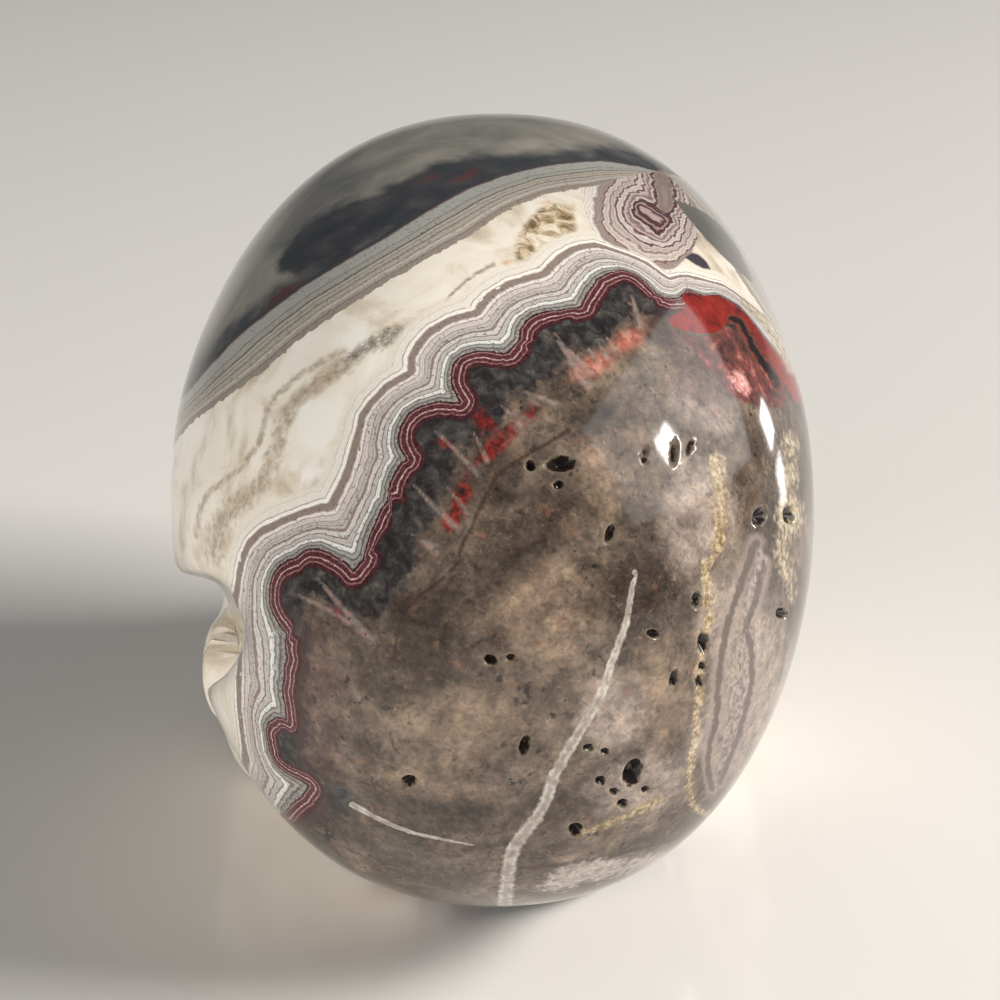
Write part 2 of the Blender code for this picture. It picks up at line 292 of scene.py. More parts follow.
def fine_skin(node):
    """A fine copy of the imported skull, in the sculpt's millimetres, drawn onto the sculpt's field."""
    skull = add_object("agate_stone", node.data.copy())
    fit_to_box(skull, SCULPT_LOW, SCULPT_HIGH)
    skin = skull.modifiers.new("skin", "REMESH")
    skin.mode = "VOXEL"
    skin.voxel_size = SKIN_VOXEL
    graph = bpy.context.evaluated_depsgraph_get()
    mesh = bpy.data.meshes.new_from_object(skull.evaluated_get(graph))
    skull.modifiers.clear()
    skull.data = mesh
    points = read_points(mesh)
    for _ in range(SKIN_ROUNDS):
        points = snap_to_field(relax(mesh, points), SNAPS_PER_ROUND)
    write_points(mesh, points)
    return skull


def flatten_base(skull):
    """Cuts the underside off flat and closes it."""
    with editing(skull.data) as shape:
        cut = bmesh.ops.bisect_plane(
            shape,
            geom=shape.verts[:] + shape.edges[:] + shape.faces[:],
            plane_co=(0.0, 0.0, BASE_CUT),
            plane_no=(0.0, 0.0, 1.0),
            clear_inner=True,
        )
        rim = [item for item in cut["geom_cut"] if isinstance(item, bmesh.types.BMEdge)]
        bmesh.ops.holes_fill(shape, edges=rim, sides=0)
        split_large_faces(shape)
        bmesh.ops.recalc_face_normals(shape, faces=shape.faces[:])


# Camera, as solved for the photograph, in millimetres. A pixel is PIXEL_MM wide on the stone

IMAGE_SIZE = 1000.0
PIXEL_MM = 0.075
TARGET = np.array((0.0, 0.0, 30.0))
AZIMUTH = math.radians(178.5)
ELEVATION = math.radians(25.0)
DISTANCE = 211.0
FOCAL_PIXELS = 2470.0
IMAGE_CENTRE = np.array((492.5, 488.0))
SENSOR = 36.0
CLIP_START = 0.01
OUTWARD = np.array((
    math.cos(ELEVATION) * math.sin(AZIMUTH),
    -math.cos(ELEVATION) * math.cos(AZIMUTH),
    math.sin(ELEVATION),
))
EYE = TARGET + DISTANCE * OUTWARD
SIDEWAYS = np.cross(-OUTWARD, (0.0, 0.0, 1.0)) / math.cos(ELEVATION)
UPRIGHT = np.cross(SIDEWAYS, -OUTWARD)


def sculpt_to_world(points, low, high):
    """Sculpt millimetres to world metres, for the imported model's box."""
    share = (np.asarray(points) - SCULPT_LOW) / (SCULPT_HIGH - SCULPT_LOW)
    return np.array(low) + share * (np.array(high) - np.array(low))


def photo_ray(pixel):
    """The direction from the camera through a pixel of the photograph."""
    across, down = (np.array(pixel, float) - IMAGE_CENTRE) / FOCAL_PIXELS
    ray = -OUTWARD + across * SIDEWAYS - down * UPRIGHT
    return ray / np.linalg.norm(ray)


def photo_pixels(points):
    """The photograph's pixel of each sculpt point."""
    away = points - EYE
    depth = -(away @ OUTWARD)
    across, up = (away @ SIDEWAYS) / depth, (away @ UPRIGHT) / depth
    return IMAGE_CENTRE + FOCAL_PIXELS * np.stack([across, -up], axis=1)


def add_camera():
    data = bpy.data.cameras.new("photo_camera")
    data.sensor_fit = "HORIZONTAL"
    data.sensor_width = SENSOR
    data.lens = FOCAL_PIXELS / IMAGE_SIZE * SENSOR
    data.shift_x = (IMAGE_SIZE / 2.0 - IMAGE_CENTRE[0]) / IMAGE_SIZE
    data.shift_y = (IMAGE_CENTRE[1] - IMAGE_SIZE / 2.0) / IMAGE_SIZE
    data.clip_start = CLIP_START
    camera = add_object("photo_camera", data)
    camera.location = sculpt_to_world(EYE, *cad_box)
    camera.rotation_euler = Vector(-OUTWARD).to_track_quat("-Z", "Y").to_euler()
    bpy.context.scene.camera = camera


# Pattern: lines of the photograph, in its pixels

# The outer edge of the maroon band, which all of the lace follows
LACE_EDGE = [
    (284, 813), (292, 803), (303, 794), (309, 785), (296, 778), (284, 771), (276, 764), (270, 753),
    (268, 740), (266, 729), (269, 721), (276, 717), (286, 719), (285, 706), (283, 696), (282, 687),
    (284, 677), (284, 668), (287, 657), (285, 647), (287, 635), (280, 626), (274, 616), (270, 605),
    (269, 595), (270, 584), (273, 574), (278, 566), (287, 560), (295, 557), (301, 552), (309, 548),
    (320, 548), (334, 555), (346, 562), (353, 570), (362, 559), (365, 550), (367, 541), (372, 528),
    (376, 518), (381, 508), (388, 500), (389, 485), (393, 474), (400, 462), (406, 459), (400, 450),
    (397, 441), (398, 431), (402, 421), (409, 412), (418, 406), (430, 402), (440, 400), (452, 402),
    (459, 402), (455, 394), (451, 386), (450, 375), (452, 366), (456, 359), (465, 353), (477, 350),
    (491, 351), (503, 353), (507, 352), (512, 346), (518, 339), (519, 328), (524, 321), (532, 315),
    (543, 311), (560, 309), (578, 306), (588, 289), (595, 279), (605, 273), (620, 269), (633, 273),
    (646, 283), (656, 294), (666, 297), (676, 297), (686, 289), (702, 295), (716, 294), (727, 299),
    (739, 307), (749, 319), (759, 332), (772, 349), (784, 364), (794, 384),
]
# Lobes of that edge: centre, and the first and last of its points that go round it
LOBES = [
    ((294, 742), (296, 778), (286, 719)), ((313, 600), (285, 647), (346, 562)),
    ((397, 530), (362, 559), (389, 485)), ((428, 486), (388, 500), (406, 459)),
    ((437, 437), (400, 450), (459, 402)), ((487, 383), (455, 394), (507, 352)),
    ((551, 341), (512, 346), (578, 306)), ((625, 303), (588, 289), (666, 297)),
]
# How far past its ends, in radians, a lobe still counts, and the angle over which that fades
HOOK_END, HOOK_FADE = 0.75, 0.35
# The bright white line on the outer side of the lace's taupe band
WHITE_LINE = [
    (246, 775), (241, 760), (241, 745), (239, 727), (237, 711), (236, 695), (236, 679), (238, 660),
    (240, 642), (238, 628), (234, 617), (231, 603), (232, 592), (235, 580), (236, 569), (240, 553),
    (247, 539), (260, 526), (278, 517), (298, 509), (315, 503), (327, 501), (336, 483), (343, 466),
    (348, 451), (353, 433), (357, 416), (366, 400), (382, 384), (395, 375), (406, 370), (405, 356),
    (413, 341), (428, 326), (446, 316), (463, 310), (471, 308), (475, 302), (486, 291), (504, 280),
    (526, 273), (539, 269), (544, 264), (554, 254), (567, 246), (579, 242), (594, 241), (605, 244),
    (614, 248), (628, 253), (646, 261), (660, 271), (667, 276), (685, 273), (703, 278), (721, 283),
    (732, 290), (745, 300), (764, 314), (778, 334), (790, 356),
]
WHITE_LINE_LEVEL = 3.2
# Corners outside of the stone that close the two lines round the brown body
LACE_CORNERS = [(900, 420), (1000, 1000), (0, 1000), (0, 840)]
WHITE_CORNERS = [(900, 420), (1000, 1000), (0, 1000), (0, 790)]

# The straight bands above the white zone: their lower and upper edges, the corners that close
# them round the crown, and the same as a plane for the sides that the photograph doesn't show
STRATA_LOWER = [
    (120, 512), (167, 452), (178, 438), (192, 421), (226, 397), (262, 372), (296, 342), (324, 321),
    (357, 300), (391, 279), (420, 262), (451, 245), (473, 233), (492, 218), (511, 207), (542, 194),
    (572, 188), (586, 187), (620, 180), (652, 176), (675, 184), (692, 206), (712, 236), (735, 272),
    (762, 312), (792, 352), (830, 420),
]
STRATA_UPPER = [
    (130, 470), (160, 434), (181, 401), (208, 368), (237, 337), (270, 310), (304, 285), (345, 260),
    (387, 236), (420, 215), (451, 196), (475, 185), (500, 176), (530, 168), (560, 163), (600, 160),
    (632, 165), (650, 170), (668, 173), (690, 182), (712, 205), (738, 240), (765, 290), (790, 340),
    (830, 400),
]
STRATA_CORNERS = [(1000, 450), (1000, 0), (0, 0), (0, 500)]
STRATA_THICK = 3.8
STRATA_NORMAL = np.array((0.506, -0.471, 0.723))
STRATA_LEVEL = 35.5
STRATA_REACH = 11.0

# The lace's front as a plane through the stone, for the sides that the photograph doesn't show
FRONT_NORMAL = np.array((0.558, -0.821, 0.125))
FRONT_LEVEL = -15.3
FRONT_REACH = 5.0
HIDDEN_LOBES = 26
HIDDEN_LOBE_RADII = (1.2, 3.0)
LOBE_SEED = 7

# What counts as seen: how far a point faces the camera, how far towards the face it lies, and
# how deep it may lie behind the first stone on its line of sight
LEAST_FACING = 0.04
FURTHEST_SEEN = -12.0
COVER_GAP = 1.5
# Pixels between the points of a line that distances are taken to, and how loosely a bend meets
# its places
DENSE_STEP = 1.5
BEND_EASE = 0.02

# Patches, each an outline
REGIONS = dict(
    swirl_patch=[
        (580, 189), (600, 184), (625, 176), (650, 171), (668, 176), (682, 190), (690, 205), (694, 222),
        (696, 238), (690, 252), (680, 262), (667, 274), (648, 259), (628, 250), (605, 243), (590, 228),
        (583, 210),
    ],
    red_patch=[
        (683, 292), (702, 295), (716, 295), (730, 302), (745, 315), (757, 331), (770, 348), (784, 363),
        (792, 372), (798, 388), (801, 404), (792, 402), (785, 388), (777, 376), (769, 362), (760, 348),
        (751, 334), (742, 322), (733, 315), (727, 318), (722, 327), (712, 333), (698, 333), (685, 331),
        (670, 326), (667, 319), (676, 311), (685, 306), (680, 299),
    ],
    rust_patch=[
        (670, 329), (690, 335), (712, 335), (726, 325), (740, 333), (752, 350), (764, 366), (778, 384),
        (786, 398), (776, 408), (757, 406), (738, 400), (722, 388), (706, 366), (690, 348),
    ],
    pink_patch=[
        (728, 371), (737, 369), (744, 377), (750, 388), (748, 397), (739, 393), (731, 387),
        (727, 379),
    ],
    wedge_patch=[
        (673, 199), (690, 205), (706, 214), (721, 227), (734, 244), (746, 268), (752, 284), (738, 272),
        (721, 256), (705, 240), (691, 223), (681, 211),
    ],
    blue_patch=[(683, 257), (690, 252), (698, 254), (705, 262), (710, 270), (698, 267)],
    vug_patch=[
        (516, 265), (529, 266), (540, 261), (547, 250), (561, 237), (576, 231), (574, 216), (571, 205),
        (562, 201), (546, 203), (536, 210), (526, 221), (518, 233), (514, 249),
    ],
    lens_patch=[
        (279, 268), (288, 244), (310, 222), (336, 207), (370, 199), (400, 184), (440, 165), (480, 156),
        (520, 160), (548, 166), (520, 172), (484, 180), (450, 193), (424, 208), (395, 222), (370, 235),
        (345, 250), (320, 262), (300, 271),
    ],
    loop_patch=[
        (757, 545), (752, 570), (741, 605), (735, 640), (728, 680), (726, 715), (720, 745), (712, 785),
        (716, 790), (729, 765), (741, 735), (750, 700), (754, 670), (753, 640), (752, 615), (760, 580),
        (766, 560),
    ],
)

# Veins, crystals and cracks: paths with a half width at each end
LINES = dict(
    white_vein=[
        ([(634, 571), (630, 594), (626, 617), (620, 637), (613, 655), (607, 672), (603, 688), (591, 711),
          (578, 732), (568, 748), (560, 762), (552, 779), (544, 804), (533, 821), (521, 835), (514, 846),
          (509, 858), (507, 881), (504, 905)], 2.6, 7.0),
        ([(352, 804), (366, 812), (381, 820), (397, 827), (414, 833), (440, 839), (473, 845)], 2.6, 0.9),
    ],
    dark_line=[
        ([(568, 430), (545, 444), (520, 458), (499, 472), (484, 497), (472, 525), (462, 543), (456, 565),
          (438, 582), (418, 596), (407, 609), (400, 623), (395, 645), (394, 668)], 2.2, 1.6),
        ([(498, 871), (521, 868), (548, 866), (575, 862), (610, 856), (640, 848), (680, 837)], 2.0, 1.2),
        ([(390, 733), (393, 746), (402, 757)], 1.8, 1.0),
        ([(362, 781), (370, 786), (378, 781)], 1.5, 1.0),
    ],
    yellow_vein=[
        ([(713, 461), (716, 480), (718, 502), (719, 522), (718, 543), (712, 555), (705, 566), (706, 590),
          (708, 617), (704, 630), (701, 642), (699, 660), (697, 681), (696, 706), (695, 732), (691, 754),
          (687, 775), (688, 790), (691, 804), (699, 812), (708, 813)], 4.5, 2.5),
        ([(583, 832), (600, 826), (618, 820), (640, 808), (659, 799)], 2.5, 3.5),
    ],
    grey_loop=[
        ([(754, 542), (745, 567), (737, 591), (731, 606), (727, 620), (721, 647), (717, 677), (716, 700),
          (715, 719), (708, 744), (706, 768), (710, 789)], 3.0, 2.0),
        ([(762, 563), (758, 582), (754, 601), (744, 626), (750, 655), (750, 683), (744, 708), (738, 732),
          (728, 757), (718, 782)], 2.5, 2.0),
    ],
    crust_line=[([(741, 301), (754, 312), (765, 325), (774, 339), (783, 354), (790, 368)], 3.0, 6.0)],
    slot=[([(730, 318), (738, 321), (744, 332), (751, 346), (759, 359), (768, 371), (776, 384)], 3.0, 4.0)],
    plume_spike=[
        ([(318, 579), (343, 608), (371, 641)], 1.5, 4.0), ([(299, 595), (330, 610), (361, 630)], 1.5, 3.5),
        ([(414, 485), (434, 507), (458, 529)], 1.5, 3.5), ([(409, 531), (436, 551)], 1.5, 5.0),
        ([(434, 430), (455, 450), (477, 474)], 1.2, 2.6), ([(473, 432), (487, 461)], 1.2, 2.5),
        ([(501, 405), (519, 425)], 1.2, 2.8), ([(523, 391), (557, 405)], 1.5, 3.0),
        ([(553, 333), (569, 358), (588, 386)], 1.5, 4.5), ([(566, 348), (590, 372)], 1.2, 3.5),
        ([(631, 296), (638, 326)], 1.2, 3.5), ([(606, 338), (618, 354)], 1.2, 2.5),
        ([(597, 342), (606, 358)], 1.0, 2.5), ([(586, 346), (596, 362)], 1.0, 2.5),
        ([(455, 372), (462, 392)], 1.0, 2.0), ([(446, 486), (466, 512)], 1.0, 2.5),
    ],
    maroon_line=[([(444, 301), (455, 290), (466, 280), (478, 272), (493, 263)], 1.0, 2.0)],
    tan_streak=[
        ([(352, 348), (330, 357), (313, 366), (293, 380), (276, 396), (269, 406), (266, 418), (259, 443),
          (250, 456), (240, 469), (224, 481), (208, 493), (200, 512), (197, 535)], 2.6, 2.6),
        ([(372, 340), (350, 362), (326, 377), (310, 388), (298, 401), (288, 415), (281, 431), (278, 442),
          (275, 453), (269, 470), (262, 484), (250, 494), (240, 502), (230, 511), (222, 522), (215, 551)],
         5.0, 9.0),
    ],
)

# Round spots: centre, half sizes, and the tilt of the longer one
SPOTS = dict(
    orange_spot=[(592, 366, 23, 11, -25), (626, 340, 17, 10, -35)],
    scarlet_spot=[
        (498, 442, 26, 7, -42), (531, 412, 6, 5, 0), (461, 497, 17, 6, -68), (444, 444, 4, 3, 0),
        (338, 613, 7, 3, 40), (486, 424, 14, 7, 50), (452, 520, 12, 8, -60),
    ],
    amber_spot=[
        (432, 315, 5, 4, -50), (397, 326, 4, 3, 0), (548, 203, 8, 3, 10), (508, 262, 6, 3, -20),
        (470, 290, 5, 3, -30),
    ],
    nodule=[(319, 424, 24, 28, 0), (306, 474, 12, 10, 0), (353, 340, 12, 16, 30)],
    grey_spot=[(385, 338, 24, 8, -25), (358, 352, 16, 6, -35)],
    dusk_haze=[
        (486, 476, 44, 34, -30), (560, 475, 34, 26, 10), (425, 625, 34, 56, 10), (440, 812, 74, 18, 6),
        (400, 856, 60, 20, 25), (330, 800, 36, 20, 40), (640, 540, 26, 44, 0), (520, 560, 60, 26, -40),
        (590, 420, 60, 18, -35), (640, 560, 22, 50, 0), (765, 560, 22, 60, 0),
    ],
    tan_haze=[
        (455, 722, 62, 34, -10), (432, 786, 50, 17, 8), (540, 610, 44, 60, 0), (600, 480, 20, 40, 0),
        (660, 700, 30, 50, 0),
    ],
    pale_haze=[
        (612, 715, 34, 46, 20), (640, 786, 50, 30, -15), (696, 520, 40, 60, 0), (716, 610, 26, 60, 0),
        (740, 690, 44, 110, 10), (700, 400, 34, 26, 30), (660, 860, 70, 14, -12),
    ],
    plum_haze=[
        (318, 700, 26, 84, -4), (306, 800, 20, 30, -30), (660, 330, 30, 16, 0), (700, 380, 40, 26, 40),
    ],
    garnet_spot=[(284, 294, 22, 6, -35), (464, 176, 16, 5, -20), (424, 180, 16, 4, -20)],
    pale_spot=[
        (788, 446, 8, 12, 0), (787, 474, 8, 12, 0), (787, 516, 13, 21, 0), (779, 548, 6, 16, 0),
        (783, 570, 6, 12, 0), (789, 588, 4, 10, 0), (716, 470, 7, 14, 0), (720, 500, 5, 16, 0),
    ],
    milky_spot=[(590, 871, 40, 10, -10), (640, 862, 26, 5, -14), (560, 884, 20, 6, -10)],
    hole=[
        (560, 463, 15, 8, -5), (530, 465, 5, 5, 0), (558, 484, 5, 4, 0), (490, 660, 7, 5, 20),
        (510, 658, 5, 3, 0), (409, 781, 7, 5, 0), (632, 773, 9, 14, 25), (575, 830, 7, 6, 0),
        (600, 781, 5, 4, 0), (613, 792, 4, 3, 0), (622, 804, 5, 4, 0), (602, 812, 3, 3, 0),
        (645, 790, 4, 3, 0),
        (673, 453, 3, 10, 5), (688, 447, 2, 6, 20), (644, 451, 2, 4, 0), (643, 459, 2, 3, 0),
        (702, 643, 5, 10, 0), (701, 667, 3, 5, 0), (698, 681, 3, 5, 0), (695, 600, 4, 8, 10),
        (673, 680, 4, 9, 10), (787, 514, 5, 8, 0), (758, 516, 6, 9, 20), (780, 613, 5, 5, 0),
        (653, 634, 7, 4, 10), (609, 533, 4, 9, 20), (604, 752, 4, 3, 0), (524, 746, 5, 10, 20),
        (445, 723, 4, 3, 0), (588, 748, 5, 3, 0),
    ],
)

# The eye of the swirl, and the taupe blob above it
SWIRL_PATHS = [[(640, 209), (650, 216), (659, 222)], [(660, 176), (663, 192), (664, 204)]]


def dense(pixels):
    """Points every few pixels along a traced line."""
    pixels = np.array(pixels, float)
    points = []
    for start, end in zip(pixels[:-1], pixels[1:]):
        count = max(1, int(np.linalg.norm(end - start) / DENSE_STEP))
        points.extend(start + (end - start) * share for share in np.arange(count) / count)
    points.append(pixels[-1])
    return np.array(points)


def cast(tree, pixels):
    """Where pixels of the photograph meet the stone, in sculpt millimetres."""
    places = []
    for pixel in pixels:
        ray = photo_ray(pixel)
        place = tree.ray_cast(Vector(EYE), Vector(ray))[0]
        if place is None:
            middle = EYE + ray * ((TARGET - EYE) @ ray)
            place = tree.find_nearest(Vector(middle))[0]
        places.append(place)
    return np.array(places)


def inside_outline(pixels, corners):
    """Whether each pixel lies within a closed outline."""
    inside = np.zeros(len(pixels), bool)
    corners = np.array(corners, float)
    x, y = pixels[:, 0], pixels[:, 1]
    for (x0, y0), (x1, y1) in zip(corners, np.roll(corners, -1, axis=0)):
        if y0 != y1:
            crosses = (y0 > y) != (y1 > y)
            inside ^= crosses & (x < x0 + (y - y0) * (x1 - x0) / (y1 - y0))
    return inside


def path_offset(pixels, path, half_start, half_end):
    """How far each pixel lies from a path, in half widths of the path there."""
    path = np.array(path, float)
    lengths = np.linalg.norm(np.diff(path, axis=0), axis=1)
    before = np.concatenate([[0.0], np.cumsum(lengths)])
    nearest = np.full(len(pixels), np.inf)
    offset = np.full(len(pixels), np.inf)
    for start, end, length, passed in zip(path[:-1], path[1:], lengths, before):
        along = (end - start) / length
        gap = pixels - start
        reach = np.clip(gap @ along, 0.0, length)
        distance = np.linalg.norm(gap - reach[:, None] * along, axis=1)
        half = half_start + (half_end - half_start) * (passed + reach) / before[-1]
        closer = distance < nearest
        nearest = np.where(closer, distance, nearest)
        offset = np.where(closer, distance / half, offset)
    return offset


def path_distance(pixels, path):
    """How far each pixel lies from a path, in pixels."""
    return path_offset(pixels, path, 1.0, 1.0)


def family_offset(pixels, paths):
    """The offset from the nearest of several paths, in half widths."""
    return np.min([path_offset(pixels, *path) for path in paths], axis=0)


def outline_depth(pixels, corners):
    """Distance in pixels to an outline, positive within it."""
    distance = path_distance(pixels, corners + corners[:1])
    return np.where(inside_outline(pixels, corners), distance, -distance)


def spot_depth(pixels, spots):
    """Rough distance in pixels to the rims of several ovals, positive within them."""
    depth = np.full(len(pixels), -np.inf)
    for x, y, half_x, half_y, tilt in spots:
        gap = pixels - np.array((x, y))
        turn = math.radians(tilt)
        across = gap[:, 0] * math.cos(turn) + gap[:, 1] * math.sin(turn)
        down = gap[:, 1] * math.cos(turn) - gap[:, 0] * math.sin(turn)
        size = np.hypot(across / half_x, down / half_y)
        depth = np.maximum(depth, (1.0 - size) * min(half_x, half_y))
    return depth


def point_tree(points):
    """A tree in which the nearest of the points is found."""
    tree = KDTree(len(points))
    for number, point in enumerate(points):
        tree.insert(Vector(point), number)
    tree.balance()
    return tree


def nearest_distance(points, targets):
    """Distance from each point to the nearest of the targets."""
    tree = point_tree(targets)
    return np.array([tree.find(Vector(point))[2] for point in points])


def bend(points, places, residuals, reach):
    """A smooth bump that meets each residual at its place and fades out within reach."""
    apart = np.linalg.norm(places[:, None] - places[None], axis=2)
    kernel = np.exp(-((apart / reach) ** 2)) + BEND_EASE * np.eye(len(places))
    weights = np.linalg.solve(kernel, residuals)
    total = np.zeros(len(points))
    for place, weight in zip(places, weights):
        total += weight * np.exp(-((points - place) ** 2).sum(axis=1) / reach ** 2)
    return total


class Surface:
    """The stone's points, and how the photograph sees them."""

    def __init__(self, mesh):
        self.mesh = mesh
        self.points = read_points(mesh)
        self.pixels = photo_pixels(self.points)
        faces = [tuple(face.vertices) for face in mesh.polygons]
        self.tree = BVHTree.FromPolygons(self.points.tolist(), faces)
        self.seen = self.find_seen()
        self.hidden, shown = np.where(~self.seen)[0], np.where(self.seen)[0]
        search = point_tree(self.points[shown])
        found = [search.find(Vector(self.points[number])) for number in self.hidden]
        self.neighbours = shown[[item[1] for item in found]]
        self.behind = np.array([item[2] for item in found]) / PIXEL_MM

    def find_seen(self):
        """Which points face the camera with no other stone in front of them."""
        towards = EYE - self.points
        facing = (read_normals(self.mesh) * towards).sum(axis=1) / np.linalg.norm(towards, axis=1)
        seen = (facing > LEAST_FACING) & (self.points[:, 1] > FURTHEST_SEEN)
        for number in np.where(seen)[0]:
            place = self.tree.ray_cast(Vector(EYE), Vector(-towards[number]))[0]
            if place is not None and (place - Vector(self.points[number])).length > COVER_GAP:
                seen[number] = False
        return seen

    def carried(self, values, fading):
        """Carries values from the seen side round its edge, changing with the distance."""
        values = values.copy()
        values[self.hidden] = values[self.neighbours] + fading * self.behind
        return values


def lobe_gain(pixels):
    """How much deeper than the plain distance to the lace's edge its lobes make each pixel."""
    plain = path_distance(pixels, LACE_EDGE)
    depth = plain.copy()
    for centre, first, last in LOBES:
        arc = np.array(LACE_EDGE[LACE_EDGE.index(first):LACE_EDGE.index(last) + 1], float) - centre
        turns = np.unwrap(np.arctan2(arc[:, 1], arc[:, 0]))
        gap = pixels - np.array(centre)
        middle = (turns[0] + turns[-1]) / 2.0
        away = (np.arctan2(gap[:, 1], gap[:, 0]) - middle + math.pi) % (2.0 * math.pi) - math.pi
        radius = np.interp(middle + away, turns, np.hypot(arc[:, 0], arc[:, 1]))
        beyond = np.abs(away) - (turns[-1] - turns[0]) / 2.0
        weight = np.clip((HOOK_END - beyond) / HOOK_FADE, 0.0, 1.0)
        within = radius - np.hypot(gap[:, 0], gap[:, 1])
        depth = np.where(within > 0.0, np.maximum(depth, plain + weight * (within - plain)), depth)
    return depth - plain


def hidden_edge(surface, height):
    """Places where the lace's front crosses the mesh where the photograph doesn't show it."""
    ends = read_edges(surface.mesh)
    ends = ends[~surface.seen[ends].any(axis=1) & (height[ends[:, 0]] * height[ends[:, 1]] < 0.0)]
    share = height[ends[:, 0]] / (height[ends[:, 0]] - height[ends[:, 1]])
    starts, finishes = surface.points[ends[:, 0]], surface.points[ends[:, 1]]
    return starts + share[:, None] * (finishes - starts)


def lace_distance(surface):
    """Level in the lace in millimetres: 0 on the maroon's edge, and more towards the white side."""
    points, pixels = surface.points, surface.pixels
    edge = cast(surface.tree, LACE_EDGE)
    height = points @ FRONT_NORMAL - FRONT_LEVEL
    height += bend(points, edge, FRONT_LEVEL - edge @ FRONT_NORMAL, FRONT_REACH)
    hidden = hidden_edge(surface, height)
    inner = nearest_distance(points, np.vstack([cast(surface.tree, dense(LACE_EDGE)), hidden]))
    outer = nearest_distance(points, cast(surface.tree, dense(WHITE_LINE)))
    within = inside_outline(pixels, WHITE_LINE + WHITE_CORNERS)
    body = inside_outline(pixels, LACE_EDGE + LACE_CORNERS)
    level = np.where(within, WHITE_LINE_LEVEL * inner / (inner + outer), WHITE_LINE_LEVEL + outer)
    level = np.where(body, -inner - lobe_gain(pixels) * PIXEL_MM, level)
    behind = np.sign(height) * inner
    random = np.random.default_rng(LOBE_SEED)
    for number in random.choice(len(hidden), HIDDEN_LOBES, replace=False):
        radius = random.uniform(*HIDDEN_LOBE_RADII)
        behind = np.minimum(behind, np.linalg.norm(points - hidden[number], axis=1) - radius)
    return np.where(surface.seen, level, behind)


def strata_height(surface):
    """Height above the lower edge of the straight bands, in millimetres."""
    points, pixels = surface.points, surface.pixels
    lower, upper = (cast(surface.tree, line[2:-1]) for line in (STRATA_LOWER, STRATA_UPPER))
    places = np.vstack([lower, upper])
    wanted = np.array([0.0] * len(lower) + [STRATA_THICK] * len(upper))
    residuals = wanted - (places @ STRATA_NORMAL - STRATA_LEVEL)
    plane = points @ STRATA_NORMAL - STRATA_LEVEL + bend(points, places, residuals, STRATA_REACH)
    below = path_distance(pixels, STRATA_LOWER) * PIXEL_MM
    above = path_distance(pixels, STRATA_UPPER) * PIXEL_MM
    over_lower = inside_outline(pixels, STRATA_LOWER + STRATA_CORNERS)
    over_upper = inside_outline(pixels, STRATA_UPPER + STRATA_CORNERS)
    level = np.where(over_lower, STRATA_THICK * below / (below + above), -below)
    level = np.where(over_upper, STRATA_THICK + above, level)
    return np.where(surface.seen, level, plane)


def add_attribute(mesh, name, values):
    layer = mesh.attributes.new(name, "FLOAT", "POINT")
    layer.data.foreach_set("value", np.asarray(values, np.float32))


def add_pattern(mesh):
    """Works out every attribute that the stone's colours are made from."""
    surface = Surface(mesh)
    add_attribute(mesh, "lace", lace_distance(surface))
    add_attribute(mesh, "strata", strata_height(surface))
    for families, measure, fading in (
        (REGIONS, outline_depth, -1.0), (SPOTS, spot_depth, -1.0), (LINES, family_offset, 1.0),
    ):
        for name, traced in families.items():
            add_attribute(mesh, name, surface.carried(measure(surface.pixels, traced), fading))
    rings = np.array([path_distance(surface.pixels, path) for path in SWIRL_PATHS])
    add_attribute(mesh, "swirl", surface.carried(rings.min(axis=0), 1.0))
    add_attribute(mesh, "swirl_blob", surface.carried(rings[1], 1.0))


# Material: colours as the photograph shows them, red green blue from 0 to 255

# Sheen of the room that lies over every colour in the photograph, taken off each of them
GLOSS_SHARE = 0.008
LEAST_COLOUR = 0.004

# Bands across the lace, by level, and across the straight bands and the swirl: upper edge, colour
INNER_BANDS = [
    (-1.37, (56, 42, 43)), (-1.06, (70, 43, 45)), (-0.96, (146, 106, 106)), (-0.70, (86, 51, 53)),
    (-0.60, (188, 160, 156)), (-0.26, (88, 52, 55)), (-0.16, (150, 118, 116)), (0.0, (66, 42, 45)),
    (0.18, (152, 149, 143)), (0.27, (104, 98, 95)), (0.43, (160, 158, 152)), (0.50, (112, 106, 102)),
    (0.69, (224, 222, 216)), (0.76, (140, 134, 129)), (0.98, (188, 182, 176)), (1.06, (138, 122, 116)),
    (1.28, (206, 200, 194)),
]
OUTER_BANDS = [
    (1.31, (206, 200, 194)), (1.46, (144, 127, 120)), (1.60, (186, 180, 172)), (1.65, (156, 146, 140)),
    (1.84, (190, 183, 176)), (1.90, (154, 138, 134)), (2.22, (206, 196, 190)), (2.28, (150, 134, 128)),
    (2.50, (228, 219, 212)), (2.58, (166, 151, 141)), (3.02, (146, 131, 121)), (3.08, (172, 158, 147)),
    (3.36, (244, 238, 229)), (3.46, (182, 168, 152)), (3.98, (232, 224, 211)), (4.10, (222, 212, 197)),
    (4.60, (232, 223, 208)),
]
STRATA_BANDS = [
    (0.46, (152, 141, 130)), (0.54, (122, 111, 102)), (0.80, (170, 160, 148)), (1.05, (190, 183, 170)),
    (1.12, (132, 122, 112)), (1.50, (174, 165, 152)), (1.62, (130, 120, 110)), (1.90, (176, 168, 155)),
    (1.96, (138, 129, 119)), (2.20, (180, 172, 160)), (2.32, (98, 92, 87)), (2.75, (164, 161, 152)),
    (2.82, (122, 120, 116)), (3.70, (166, 165, 158)), (3.82, (104, 82, 81)), (4.30, (64, 64, 67)),
]
